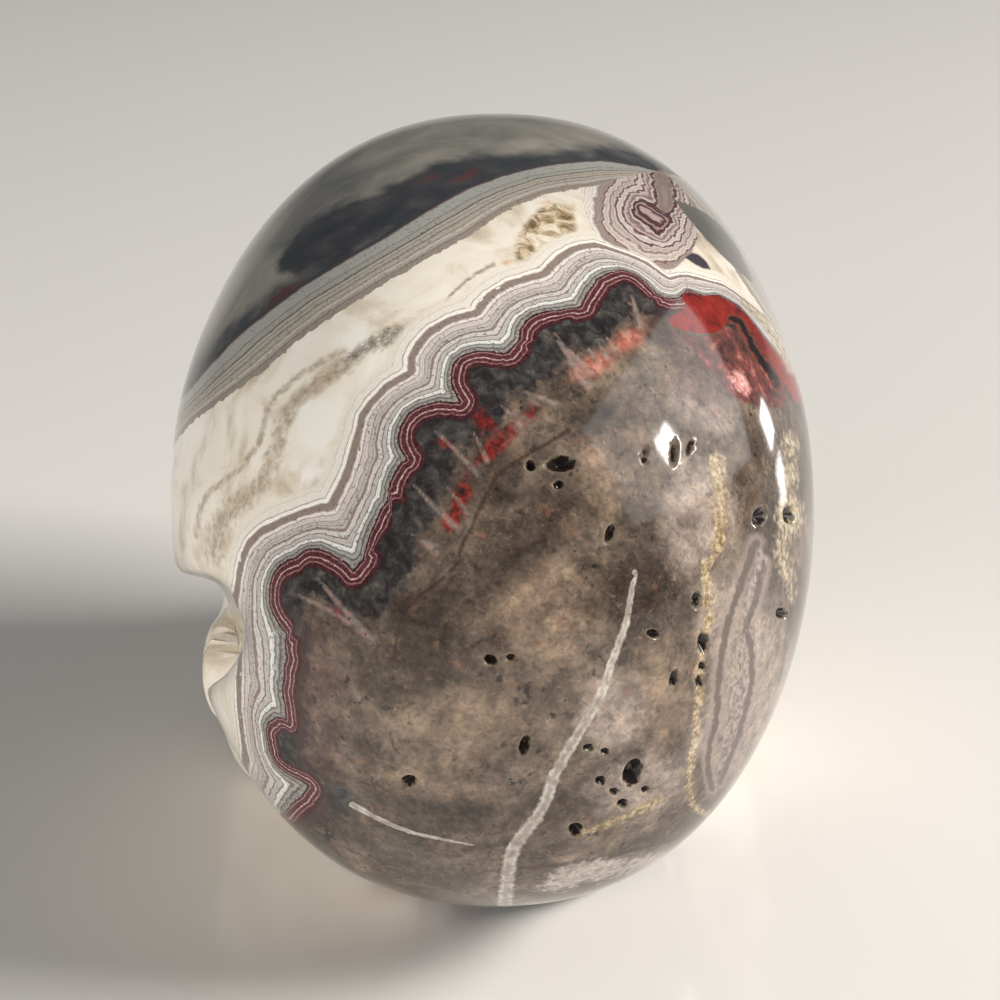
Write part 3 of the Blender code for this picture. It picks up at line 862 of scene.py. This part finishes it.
SWIRL_BANDS = [
    (2.5, (176, 152, 148)), (5.5, (84, 52, 56)), (7.5, (168, 148, 142)), (11.0, (88, 58, 62)),
    (13.0, (206, 196, 188)), (15.0, (128, 98, 98)), (18.0, (186, 170, 162)), (20.0, (118, 84, 86)),
    (24.5, (202, 190, 182)), (26.5, (112, 84, 84)), (31.0, (188, 172, 164)), (32.5, (140, 114, 112)),
    (38.5, (196, 182, 173)), (40.0, (112, 78, 80)), (48.0, (156, 141, 133)), (52.5, (222, 213, 204)),
]
# The levels that each list of bands covers, and how soft the edges between them are
INNER_SPAN, OUTER_SPAN, LACE_SOFTNESS = (-1.5, 1.4), (1.2, 4.7), 0.025
STRATA_SPAN, STRATA_SOFTNESS = (0.0, 4.4), 0.04
SWIRL_SPAN, SWIRL_SOFTNESS = (0.0, 54.0), 0.6

# Where each zone takes over from the one before, by level in the lace or in the straight bands
PLUME_START, LACE_START, OUTER_START, CHALK_START = (-3.9, -3.2), (-1.44, -1.36), (1.19, 1.21), (4.1, 4.9)
STRATA_START, CROWN_START, PALE_CROWN_START = (-0.04, 0.04), (3.85, 4.15), (4.3, 5.6)
MAROON_START, SPECKLED_END, GRIT_LEVEL, GRIT_REACH = (0.35, -0.1), (3.3, 2.6), 0.02, (0.34, 0.0)

# Wavers that bend the levels: scale and amount, then detail and roughness
PLUME_WAVERS = [(0.5, 1.3), (2.0, 0.6)]
LACE_WAVERS = [(0.9, 0.13, 2.0), (3.2, 0.06)]
STRATA_WAVERS = [(0.6, 0.10), (3.0, 0.05)]
RAGGED_WAVERS = [(1.3, 0.32, 4.0, 0.6)]
CROWN_WAVERS = [(0.3, 1.0, 4.0)]
SWIRL_WAVERS = [(0.7, 5.5), (3.0, 1.4)]
HAIR_WAVERS = [(1.5, 0.06)]

# Fine lines along the bands: how dense and how deep they are, and how deep the fibres are
LACE_RIPPLE, STRATA_RIPPLE, SWIRL_RIPPLE = (42.0, 0.10, 0.36), (36.0, 0.09, 0.36), (1.9, 0.16, 0.4)

# Noises: scale per millimetre, detail, roughness and distortion
FINE = (1.2, 3.0)
FIBRE = (3.0, 4.0, 0.7)
SPECK = (4.2, 3.0, 0.65)

# Dustings: a noise, where it starts and is full, its strength, and its colour
BODY_DUSTS = [((3.2, 4.0, 0.65), (0.52, 0.75), 1.0, (120, 106, 90)), (FINE, (0.40, 0.28), 1.0, (62, 54, 50))]
RUSTY_DUST = ((0.8, 6.0, 0.7, 0.5), (0.58, 0.68), 0.45, (140, 98, 76))
LACE_SPECKS = (SPECK, (0.57, 0.65), 0.65, (88, 60, 58))
LACE_GRIT = ((4.0, 3.0, 0.7), (0.50, 0.58), 0.5, (52, 32, 34))
STRATA_SPECKS = (SPECK, (0.57, 0.65), 0.55, (72, 66, 62))

# Clouds of colour: a noise, and colours at levels of it
CLOUD_SPAN = (0.2, 0.8)
BODY = ((0.16, 8.0, 0.62, 0.6), [
    (0.30, (66, 58, 52)), (0.45, (88, 77, 68)), (0.55, (108, 95, 84)), (0.70, (140, 125, 110)),
])
PLUME = ((0.9, 7.0, 0.66, 0.4), [
    (0.32, (40, 37, 38)), (0.46, (54, 51, 51)), (0.58, (76, 73, 70)), (0.70, (112, 102, 94)),
])
EMBER = ((1.4, 5.0, 0.65), [(0.34, (126, 78, 68)), (0.48, (182, 100, 82)), (0.62, (206, 148, 130))])
BLOOD = ((2.0, 4.0, 0.6), [
    (0.34, (48, 33, 34)), (0.46, (88, 38, 38)), (0.58, (138, 44, 38)), (0.68, (128, 76, 66)),
])
FEATHER = ((1.5, 3.0), [(0.34, (176, 128, 112)), (0.46, (160, 144, 134)), (0.64, (112, 98, 92))])
RUST = ((0.9, 5.0, 0.65), [
    (0.32, (62, 46, 44)), (0.48, (96, 66, 62)), (0.58, (128, 72, 68)), (0.70, (168, 120, 108)),
])
ROSE = ((1.8, 4.0, 0.7), [(0.36, (158, 86, 84)), (0.48, (204, 146, 140)), (0.62, (222, 186, 178))])
LOOP = ((2.2, 4.0, 0.7), [(0.35, (108, 94, 88)), (0.5, (148, 133, 125)), (0.65, (176, 162, 153))])
SAND = ((2.6, 4.0, 0.7), [(0.35, (104, 84, 62)), (0.5, (168, 146, 112)), (0.65, (214, 197, 164))])
LIME = (FINE, [(0.38, (162, 150, 138)), (0.60, (210, 202, 191))])
CRYSTAL = ((2.0, 5.0, 0.65), [
    (0.34, (100, 84, 62)), (0.44, (152, 134, 106)), (0.54, (188, 173, 148)), (0.66, (216, 206, 190)),
])
MILK = ((1.8, 5.0, 0.7), [(0.36, (150, 136, 126)), (0.52, (196, 184, 174)), (0.66, (226, 216, 206))])
JASPER = ((0.9, 6.0, 0.65), [
    (0.32, (80, 38, 38)), (0.44, (122, 44, 40)), (0.56, (138, 47, 41)), (0.68, (146, 58, 50)),
])
CHALK = ((0.22, 5.0, 0.55, 0.8), [
    (0.30, (246, 239, 226)), (0.50, (236, 226, 209)), (0.60, (216, 202, 181)), (0.72, (184, 168, 146)),
])
SANDY = ((1.4, 5.0, 0.65), [(0.36, (150, 134, 114)), (0.50, (180, 164, 142)), (0.64, (214, 201, 182))])
QUARTZ = ((2.2, 5.0, 0.7), [
    (0.36, (104, 96, 82)), (0.48, (150, 142, 128)), (0.60, (192, 184, 170)), (0.68, (226, 220, 208)),
])
GLASS = ((0.8, 6.0, 0.65, 0.8), [
    (0.36, (116, 96, 70)), (0.46, (168, 146, 114)), (0.54, (208, 188, 158)), (0.64, (238, 226, 206)),
])
CROWN = ((0.13, 5.0, 0.55, 0.5), [
    (0.30, (112, 111, 105)), (0.44, (136, 133, 124)), (0.56, (154, 149, 138)), (0.70, (170, 162, 151)),
])
DARK = ((0.35, 4.0, 0.6), [(0.30, (54, 56, 60)), (0.50, (72, 73, 75)), (0.70, (100, 99, 96))])

# Tints that the colour under them is multiplied by: a noise, and factors at levels of it
FLECK = ((1.6, 4.0, 0.7, 0.8), [
    (0.30, (0.55, 0.55, 0.57)), (0.50, (1.0, 1.0, 1.0)), (0.70, (1.40, 1.36, 1.30)),
])
MOTTLE = ((0.5, 6.0, 0.64, 0.4), [
    (0.34, (0.60, 0.58, 0.58)), (0.50, (0.98, 0.97, 0.97)), (0.64, (1.34, 1.32, 1.28)),
])
MAROON_GRAIN = ((4.5, 5.0, 0.75), [
    (0.34, (0.38, 0.34, 0.36)), (0.50, (1.0, 0.96, 0.98)), (0.66, (1.75, 1.70, 1.75)),
])

# Layers over a zone's ground, from the lowest: the traced family, the noise that wavers its edge
# (scale, amount, detail, roughness), where it starts and is full, its strength, and its colour
HAZE_WAVER, HAZE_EDGE = (0.35, 22.0, 6.0, 0.6), (-10.0, 16.0)
HAZES = [
    ("tan_haze", HAZE_WAVER, HAZE_EDGE, 0.62, (158, 137, 118)),
    ("pale_haze", HAZE_WAVER, HAZE_EDGE, 0.68, (170, 155, 144)),
    ("dusk_haze", HAZE_WAVER, HAZE_EDGE, 0.62, (66, 58, 54)),
    ("plum_haze", HAZE_WAVER, HAZE_EDGE, 0.62, (78, 58, 57)),
]
BODY_LAYERS = [
    ("orange_spot", (0.9, 9.0, 5.0, 0.6), (-6.0, 9.0), 0.85, EMBER),
    ("scarlet_spot", (1.2, 9.0, 5.0, 0.65), (-5.5, 3.5), 0.9, BLOOD),
    ("plume_spike", (1.8, 0.8, 3.0, 0.5), (1.8, 0.0), 0.72, FEATHER),
    ("rust_patch", (1.6, 4.0, 4.0, 0.6), (-2.5, 2.5), 1.0, RUST),
    ("pink_patch", (1.5, 7.0, 4.0, 0.65), (-1.5, 2.5), 1.0, ROSE),
    ("dark_line", (1.8, 0.5, 3.0, 0.5), (1.6, 0.2), 0.75, (66, 50, 46)),
    ("grey_loop", (1.8, 1.2, 3.0, 0.5), (4.3, 1.7), 0.6, (158, 143, 134)),
    ("loop_patch", (1.6, 2.2, 4.0, 0.6), (-1.5, 1.5), 1.0, LOOP),
    ("grey_loop", (1.8, 1.5, 3.0, 0.5), (1.8, 0.6), 0.85, (96, 84, 79)),
    ("yellow_vein", (1.8, 2.2, 3.0, 0.5), (1.9, 0.3), 0.95, SAND),
    ("white_vein", (1.8, 0.7, 3.0, 0.5), (1.3, 0.7), 0.9, LIME),
    ("white_vein", (1.8, 0.6, 3.0, 0.5), (0.7, 0.1), 0.7, (142, 130, 120)),
    ("pale_spot", (1.6, 10.0, 4.0, 0.6), (-4.5, 4.5), 0.85, CRYSTAL),
    ("milky_spot", (1.6, 9.0, 4.0, 0.6), (-3.0, 3.0), 0.85, MILK),
]
JASPER_LAYERS = [
    ("red_patch", (1.6, 2.0, 4.0, 0.6), (-1.0, 1.0), 1.0, JASPER),
    ("crust_line", (1.8, 0.8, 3.0, 0.5), (1.5, 0.5), 0.75, CRYSTAL),
]
CHALK_LAYERS = [
    ("tan_streak", (1.8, 1.6, 3.0, 0.5), (1.9, 0.1), 0.8, SANDY),
    ("nodule", (0.7, 9.0, 4.0, 0.5), (-7.0, 7.0), 1.0, (244, 238, 227)),
    ("amber_spot", (1.5, 4.0, 3.0, 0.5), (-2.5, 2.5), 0.7, (214, 164, 118)),
    ("grey_spot", (1.6, 9.0, 4.0, 0.6), (-4.0, 4.0), 0.9, QUARTZ),
    ("vug_patch", (1.6, 5.0, 4.0, 0.6), (-4.0, 4.0), 1.0, GLASS),
    ("maroon_line", (1.8, 1.8, 3.0, 0.5), (2.0, 0.0), 0.7, (122, 88, 82)),
]
# The cleft's dark inside: painted shade
SLOT_SHADE_LAYER = ("slot", (1.8, 1.4, 3.0, 0.5), (1.3, 0.5), 1.0, (42, 36, 38))
GARNET_LAYER = ("garnet_spot", (1.0, 6.0, 4.0, 0.5), (-2.0, 4.0), 0.75, (96, 52, 50))
TOP_LAYERS = [
    ("blue_patch", (1.6, 0.8, 4.0, 0.6), (-1.0, 1.0), 1.0, (72, 66, 72)),
    # A lighter ring round each pit: painted highlight on its rim
    ("hole", (1.6, 4.5, 4.0, 0.65), (-3.2, -0.6), 0.25, (158, 142, 116)),
    # The dark inside of each pit: painted shade in the hollow
    ("hole", (1.6, 4.5, 4.0, 0.65), (-0.8, 0.8), 1.0, (44, 38, 36)),
]
# Places of the colours that are mixed from others, as in the layers, and those colours
PLUM_COLOUR, PLUM_EDGE, PLUM_STRENGTH = (78, 58, 57), (-8.0, 6.0), 0.7
PLUM_BACK_EDGE, PLUM_BACK = (-12.0, 10.0), 1.5
SLOT_RIM, SLOT_RIM_COLOURS = ("slot", (1.8, 1.6), (2.0, 1.0)), ((148, 78, 62), (84, 52, 46))
LENS, LENS_COLOUR = ("lens_patch", (0.5, 9.0, 5.0, 0.55), (-9.0, 3.0)), (50, 52, 57)
SWIRL = ("swirl_patch", (1.6, 1.0, 4.0, 0.6), (-1.0, 1.0))
BLOB, BLOB_STRENGTH = ("swirl_blob", (1.2, 3.0, 4.0), (9.0, 5.5)), 0.85
BLOB_COLOURS = ((116, 100, 92), (164, 146, 134))
WEDGE, WEDGE_COLOUR = ("wedge_patch", (1.6, 0.8, 4.0, 0.6), (-1.0, 1.0)), (126, 122, 112)
WHITE = (1.0, 1.0, 1.0, 1.0)
POLISH_ROUGHNESS = 0.09
AGATE_IOR = 1.54

# A mix node's sockets for the factor and the two colours, by number, because others share their names
MIX_INPUTS = (0, 6, 7)
MIX_OUTPUT = 2


def tone(red, green, blue):
    """A stone colour for a colour seen in the photograph, less the room's sheen on the polish."""
    seen = np.array((red, green, blue)) / 255.0
    linear = np.where(seen <= 0.04045, seen / 12.92, ((seen + 0.055) / 1.055) ** 2.4)
    return (*np.maximum(linear - GLOSS_SHARE, LEAST_COLOUR), 1.0)


def bands(edges, softness):
    """Colour stops for bands, each given as its upper edge and its colour."""
    stops = []
    for (edge, colour), (_, following) in zip(edges[:-1], edges[1:]):
        stops.append((edge - softness, tone(*colour)))
        stops.append((edge + softness, tone(*following)))
    return stops


class Graph:
    """Short names for adding nodes to a material."""

    def __init__(self, material):
        self.tree = material.node_tree
        self.nodes = material.node_tree.nodes
        place = self.nodes.new("ShaderNodeVectorMath")
        place.operation = "SCALE"
        self.join(self.nodes.new("ShaderNodeTexCoord").outputs["Object"], place.inputs[0])
        place.inputs["Scale"].default_value = 1.0 / MM
        self.place = place.outputs["Vector"]

    def join(self, value, socket):
        if isinstance(value, bpy.types.NodeSocket):
            self.tree.links.new(value, socket)
        else:
            socket.default_value = value

    def math(self, operation, *values):
        node = self.nodes.new("ShaderNodeMath")
        node.operation = operation
        for value, socket in zip(values, node.inputs):
            self.join(value, socket)
        return node.outputs[0]

    def attribute(self, name):
        node = self.nodes.new("ShaderNodeAttribute")
        node.attribute_name = name
        return node.outputs["Fac"]

    def noise(self, scale, detail=3.0, roughness=0.5, distortion=0.0):
        node = self.nodes.new("ShaderNodeTexNoise")
        settings = dict(
            Vector=self.place, Scale=scale, Detail=detail, Roughness=roughness, Distortion=distortion,
        )
        for name, value in settings.items():
            self.join(value, node.inputs[name])
        return node.outputs["Fac"]

    def shift(self, value, scale, amount, *settings):
        """The value, moved up and down by noise of that scale."""
        wobble = self.math("SUBTRACT", self.noise(scale, *settings), 0.5)
        return self.math("MULTIPLY_ADD", wobble, 2.0 * amount, value)

    def waver(self, value, wavers):
        for settings in wavers:
            value = self.shift(value, *settings)
        return value

    def span(self, value, low, high, interpolation="LINEAR"):
        """Goes from 0 at low to 1 at high."""
        node = self.nodes.new("ShaderNodeMapRange")
        node.interpolation_type = interpolation
        for name, amount in (("Value", value), ("From Min", low), ("From Max", high)):
            self.join(amount, node.inputs[name])
        return node.outputs["Result"]

    def step(self, value, low, high):
        """Goes smoothly from 0 at low to 1 at high."""
        return self.span(value, low, high, "SMOOTHSTEP")

    def mix(self, factor, first, second, blend_type="MIX"):
        node = self.nodes.new("ShaderNodeMix")
        node.data_type = "RGBA"
        node.blend_type = blend_type
        for value, number in zip((factor, first, second), MIX_INPUTS):
            self.join(value, node.inputs[number])
        return node.outputs[MIX_OUTPUT]

    def paint(self, under, mask, strength, colour):
        """Lays a colour over another where the mask is, as strongly as given."""
        return self.mix(self.math("MULTIPLY", mask, strength), under, colour)

    def ramp(self, value, ends, stops):
        """Colours at given values between two ends."""
        low, high = ends
        node = self.nodes.new("ShaderNodeValToRGB")
        self.join(self.span(value, low, high), node.inputs["Fac"])
        elements = node.color_ramp.elements
        for number, (place, colour) in enumerate(stops):
            share = (place - low) / (high - low)
            element = elements[number] if number < 2 else elements.new(share)
            element.position = share
            element.color = colour
        return node.outputs["Color"]

    def cloud(self, noise, stops):
        """Colours that follow a noise."""
        toned = [(level, tone(*colour)) for level, colour in stops]
        return self.ramp(self.noise(*noise), CLOUD_SPAN, toned)

    def tint(self, noise, stops):
        """Factors that follow a noise."""
        opaque = [(level, (*factors, 1.0)) for level, factors in stops]
        return self.ramp(self.noise(*noise), CLOUD_SPAN, opaque)

    def multiply(self, colour, factors):
        return self.mix(1.0, colour, factors, "MULTIPLY")

    def dust(self, under, noise, edge, strength, colour, within=1.0):
        """Sprinkles a colour where a noise is high, within a mask."""
        mask = self.math("MULTIPLY", self.step(self.noise(*noise), *edge), within)
        return self.paint(under, mask, strength, tone(*colour))

    def blotch(self, noise, colours):
        """Goes between two colours with a noise."""
        return self.mix(self.noise(*noise), *(tone(*colour) for colour in colours))

    def near(self, family, waver, edge):
        """How far within a traced family a point lies, 0 to 1, with an uneven edge."""
        reach = self.shift(self.attribute(family), *waver)
        if family in LINES:
            reach = self.math("ABSOLUTE", reach)
        return self.step(reach, *edge)

    def layer(self, under, family, waver, edge, strength, colour):
        """Paints one layer, of a plain colour or of a cloud."""
        top = tone(*colour) if len(colour) == 3 else self.cloud(*colour)
        return self.paint(under, self.near(family, waver, edge), strength, top)

    def layers(self, under, rows):
        for row in rows:
            under = self.layer(under, *row)
        return under

    def ripple(self, colour, level, count, depth, grain):
        """Fine lines along the bands, and fibres through them."""
        hair = self.math("SINE", self.math("MULTIPLY", level, count))
        fibre = self.math("MULTIPLY_ADD", self.noise(*FIBRE), grain, 1.0 - grain / 2.0)
        return self.multiply(colour, self.math("MULTIPLY_ADD", hair, depth, fibre))


def body_colour(graph, lace):
    """The brown body, with its plumes along the lace, its veins and its crystals."""
    body = graph.cloud(*BODY)
    for dust in BODY_DUSTS:
        body = graph.dust(body, *dust)
    body = graph.layers(body, HAZES)
    for tint in (FLECK, MOTTLE):
        body = graph.multiply(body, graph.tint(*tint))
    body = graph.dust(body, *RUSTY_DUST)
    haze = graph.attribute("plum_haze")
    plum = graph.step(haze, *PLUM_EDGE)
    plume = graph.paint(graph.cloud(*PLUME), plum, PLUM_STRENGTH, tone(*PLUM_COLOUR))
    back = graph.math("MULTIPLY", graph.step(haze, *PLUM_BACK_EDGE), PLUM_BACK)
    depth = graph.math("SUBTRACT", graph.waver(lace, PLUME_WAVERS), back)
    body = graph.mix(graph.step(depth, *PLUME_START), body, plume)
    return graph.layers(body, BODY_LAYERS)


def lace_colour(graph, level):
    """The lace: maroon inside, then white and taupe bands."""
    inner = graph.ramp(level, INNER_SPAN, bands(INNER_BANDS, LACE_SOFTNESS))
    outer = graph.ramp(level, OUTER_SPAN, bands(OUTER_BANDS, LACE_SOFTNESS))
    stack = graph.mix(graph.step(level, *OUTER_START), inner, outer)
    stack = graph.ripple(stack, graph.waver(level, HAIR_WAVERS), *LACE_RIPPLE)
    stack = graph.dust(stack, *LACE_SPECKS, within=graph.step(level, *SPECKLED_END))
    offset = graph.math("ABSOLUTE", graph.math("SUBTRACT", level, GRIT_LEVEL))
    stack = graph.dust(stack, *LACE_GRIT, within=graph.step(offset, *GRIT_REACH))
    grain = graph.mix(graph.step(level, *MAROON_START), WHITE, graph.tint(*MAROON_GRAIN))
    return graph.multiply(stack, grain)


def add_slot(graph, colour):
    """The cleft in the jasper, with a rusty rim, and its dark inside painted as shade."""
    colour = graph.mix(graph.near(*SLOT_RIM), colour, graph.blotch(FINE, SLOT_RIM_COLOURS))
    return graph.layer(colour, *SLOT_SHADE_LAYER)


def straight_colour(graph, height):
    """The straight bands over the white zone."""
    straight = graph.ramp(height, STRATA_SPAN, bands(STRATA_BANDS, STRATA_SOFTNESS))
    straight = graph.ripple(straight, graph.waver(height, HAIR_WAVERS), *STRATA_RIPPLE)
    return graph.dust(straight, *STRATA_SPECKS)


def crown_colour(graph, strata, dark):
    """The grey crown, dark near the straight bands and in its lens."""
    pale = graph.step(graph.waver(strata, CROWN_WAVERS), *PALE_CROWN_START)
    crown = graph.mix(pale, dark, graph.cloud(*CROWN))
    crown = graph.mix(graph.near(*LENS), crown, graph.mix(0.5, dark, tone(*LENS_COLOUR)))
    return graph.layer(crown, *GARNET_LAYER)


def add_swirl(graph, colour, dark):
    """The swirl at the right end of the straight bands, with its blob and the dark wedge."""
    swirl = graph.waver(graph.attribute("swirl"), SWIRL_WAVERS)
    rings = graph.ramp(swirl, SWIRL_SPAN, bands(SWIRL_BANDS, SWIRL_SOFTNESS))
    rings = graph.ripple(rings, swirl, *SWIRL_RIPPLE)
    colour = graph.mix(graph.near(*SWIRL), colour, rings)
    colour = graph.paint(colour, graph.near(*BLOB), BLOB_STRENGTH, graph.blotch(FIBRE, BLOB_COLOURS))
    return graph.mix(graph.near(*WEDGE), colour, graph.mix(0.5, dark, tone(*WEDGE_COLOUR)))


def stone_material():
    material = bpy.data.materials.new("crazy_lace_agate")
    material.use_nodes = True
    graph = Graph(material)
    lace, strata = graph.attribute("lace"), graph.attribute("strata")
    level, height = graph.waver(lace, LACE_WAVERS), graph.waver(strata, STRATA_WAVERS)
    dark = graph.cloud(*DARK)

    colour = body_colour(graph, lace)
    colour = graph.mix(graph.step(level, *LACE_START), colour, lace_colour(graph, level))
    colour = add_slot(graph, graph.layers(colour, JASPER_LAYERS))
    chalk = graph.layers(graph.cloud(*CHALK), CHALK_LAYERS)
    colour = graph.mix(graph.step(level, *CHALK_START), colour, chalk)
    ragged = graph.waver(height, RAGGED_WAVERS)
    colour = graph.mix(graph.step(ragged, *STRATA_START), colour, straight_colour(graph, height))
    colour = graph.mix(graph.step(height, *CROWN_START), colour, crown_colour(graph, strata, dark))
    colour = graph.layers(add_swirl(graph, colour, dark), TOP_LAYERS)

    shader = material.node_tree.nodes["Principled BSDF"]
    graph.join(colour, shader.inputs["Base Color"])
    shader.inputs["Roughness"].default_value = POLISH_ROUGHNESS
    shader.inputs["IOR"].default_value = AGATE_IOR
    return material


# Table, light and room

TABLE_SIZE = 1.5
TABLE_COLOUR = (0.88, 0.85, 0.815, 1.0)
TABLE_ROUGHNESS = 0.16
ROOM_COLOUR = (0.95, 0.97, 1.0, 1.0)
ROOM_STRENGTH = 0.11

# The light comes from the right and a little from the camera's side, through a window whose
# reflection shows on the polish. Directions are from the carving, x y z, and lengths in metres.
AIM_HEIGHT = 0.035
LAMPS = [
    dict(name="key", direction=(-0.83, 0.13, 0.53), distance=1.05, size=(0.50, 0.28), power=15.6,
         colour=(1.0, 0.97, 0.93), glossy=False),
    dict(name="fill", direction=(0.62, 0.77, 0.15), distance=1.3, size=(1.3, 0.5), power=13.6,
         colour=(1.0, 0.99, 0.97), glossy=False),
    dict(name="ceiling", direction=(0.05, 0.10, 1.0), distance=1.0, size=(1.0, 1.0), power=0.35,
         colour=(0.97, 0.98, 1.0), glossy=False),
    dict(name="window", direction=(-0.836, 0.045, 0.546), distance=0.5, size=(0.62, 0.33), power=1.25,
         colour=(1.0, 0.98, 0.95), turn=math.radians(-20.0), diffuse=False),
    dict(name="star", direction=(-0.82, 0.18, 0.54), distance=0.45, size=(0.065, 0.060), power=0.36,
         colour=(1.0, 0.98, 0.94), diffuse=False),
    dict(name="tall", direction=(-0.84, -0.54, 0.01), distance=0.5, size=(0.04, 0.05), power=0.15,
         colour=(1.0, 0.97, 0.92), diffuse=False),
]


def table_material():
    material = bpy.data.materials.new("white_table")
    material.use_nodes = True
    shader = material.node_tree.nodes["Principled BSDF"]
    shader.inputs["Base Color"].default_value = TABLE_COLOUR
    shader.inputs["Roughness"].default_value = TABLE_ROUGHNESS
    return material


def add_table():
    table = add_object("table", bpy.data.meshes.new("table"))
    with editing(table.data) as shape:
        bmesh.ops.create_grid(shape, x_segments=1, y_segments=1, size=TABLE_SIZE)
    table.data.materials.append(table_material())


def add_lamp(name, direction, distance, size, power, colour, turn=0.0, glossy=True, diffuse=True):
    """A soft panel of light that faces the carving from a direction."""
    light = bpy.data.lights.new(name, "AREA")
    light.shape = "RECTANGLE"
    light.size, light.size_y = size
    light.energy = power
    light.color = colour
    lamp = add_object(name, light)
    direction = Vector(direction).normalized()
    lamp.location = direction * distance + Vector((0.0, 0.0, AIM_HEIGHT))
    across = Vector((0.0, 0.0, 1.0)).cross(direction).normalized()
    upward = direction.cross(across)
    across, upward = (
        across * math.cos(turn) + upward * math.sin(turn),
        upward * math.cos(turn) - across * math.sin(turn),
    )
    lamp.rotation_euler = Matrix((across, upward, direction)).transposed().to_euler()
    lamp.visible_glossy = glossy
    lamp.visible_diffuse = diffuse


def add_room():
    world = bpy.data.worlds.new("room")
    world.use_nodes = True
    background = world.node_tree.nodes["Background"]
    background.inputs["Color"].default_value = ROOM_COLOUR
    background.inputs["Strength"].default_value = ROOM_STRENGTH
    bpy.context.scene.world = world


# Making

# Pits: depth in millimetres for each pixel within their rims, which start a little outside
PIT_RIM = 1.5
PIT_DEPTHS = 0.11
DEEPEST_PIT = 0.9
# What gets a finer mesh, in pixels: lines up to a half width, with some stone round them
WIDE_LINE, WIDE_MARGIN = 12.0, 3.0
NARROW_LINE, NARROW_MARGIN = 4.0, 1.0
LACE_DEPTH = 22.0
FOOT_HEIGHT = 0.3


def refine(skull, chosen):
    """Splits the chosen faces finer and draws the points above the foot onto the field."""
    with editing(skull.data) as shape:
        shape.faces.ensure_lookup_table()
        edges = {edge for number in np.where(chosen)[0] for edge in shape.faces[number].edges}
        bmesh.ops.subdivide_edges(shape, edges=list(edges), cuts=1, use_grid_fill=True)
        split_large_faces(shape)
    points = read_points(skull.data)
    above = points[:, 2] > BASE_CUT + FOOT_HEIGHT
    points[above] = snap_to_field(points[above], 1)
    write_points(skull.data, points)


def back_faces(mesh, points, need):
    """The faces with a needed point on the back half of the skull."""
    need = need & (points[:, 1] > 0.0)
    return np.array([need[list(face.vertices)].any() for face in mesh.polygons])


def detail_faces(mesh, margin, widest):
    """The faces near pits, and near lines up to a given half width, that the photograph shows."""
    points = read_points(mesh)
    pixels = photo_pixels(points)
    need = spot_depth(pixels, SPOTS["hole"]) > -margin
    for path, *halves in (line for lines in LINES.values() for line in lines):
        if max(halves) <= widest:
            need |= path_distance(pixels, path) < max(halves) + margin
    return back_faces(mesh, points, need)


def lace_faces(mesh):
    """The faces in the narrow bands that the photograph shows."""
    points = read_points(mesh)
    pixels = photo_pixels(points)
    outer = inside_outline(pixels, WHITE_LINE + WHITE_CORNERS)
    body = inside_outline(pixels, LACE_EDGE + LACE_CORNERS)
    need = (outer & ~body) | (body & (path_distance(pixels, LACE_EDGE) < LACE_DEPTH))
    return back_faces(mesh, points, need | inside_outline(pixels, REGIONS["swirl_patch"]))


def press_pits(mesh):
    """Presses the pits into the stone."""
    depth = np.empty(len(mesh.vertices), np.float32)
    mesh.attributes["hole"].data.foreach_get("value", depth)
    depth = np.clip((depth + PIT_RIM) * PIT_DEPTHS, 0.0, DEEPEST_PIT)
    write_points(mesh, read_points(mesh) - depth[:, None] * read_normals(mesh))


skull = fine_skin(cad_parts["agate_skull"])
flatten_base(skull)
for margin, widest in ((WIDE_MARGIN, WIDE_LINE), (NARROW_MARGIN, NARROW_LINE)):
    refine(skull, lace_faces(skull.data) | detail_faces(skull.data, margin, widest))
refine(skull, detail_faces(skull.data, NARROW_MARGIN, 0.0))
add_pattern(skull.data)
press_pits(skull.data)
fit_to_box(skull, *cad_box)
skull.data.shade_smooth()
skull.data.materials.clear()
skull.data.materials.append(stone_material())
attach(skull, "root")
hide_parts("agate_skull")

add_table()
add_room()
for lamp in LAMPS:
    add_lamp(**lamp)
add_camera()
bpy.context.scene.view_settings.view_transform = "Standard"
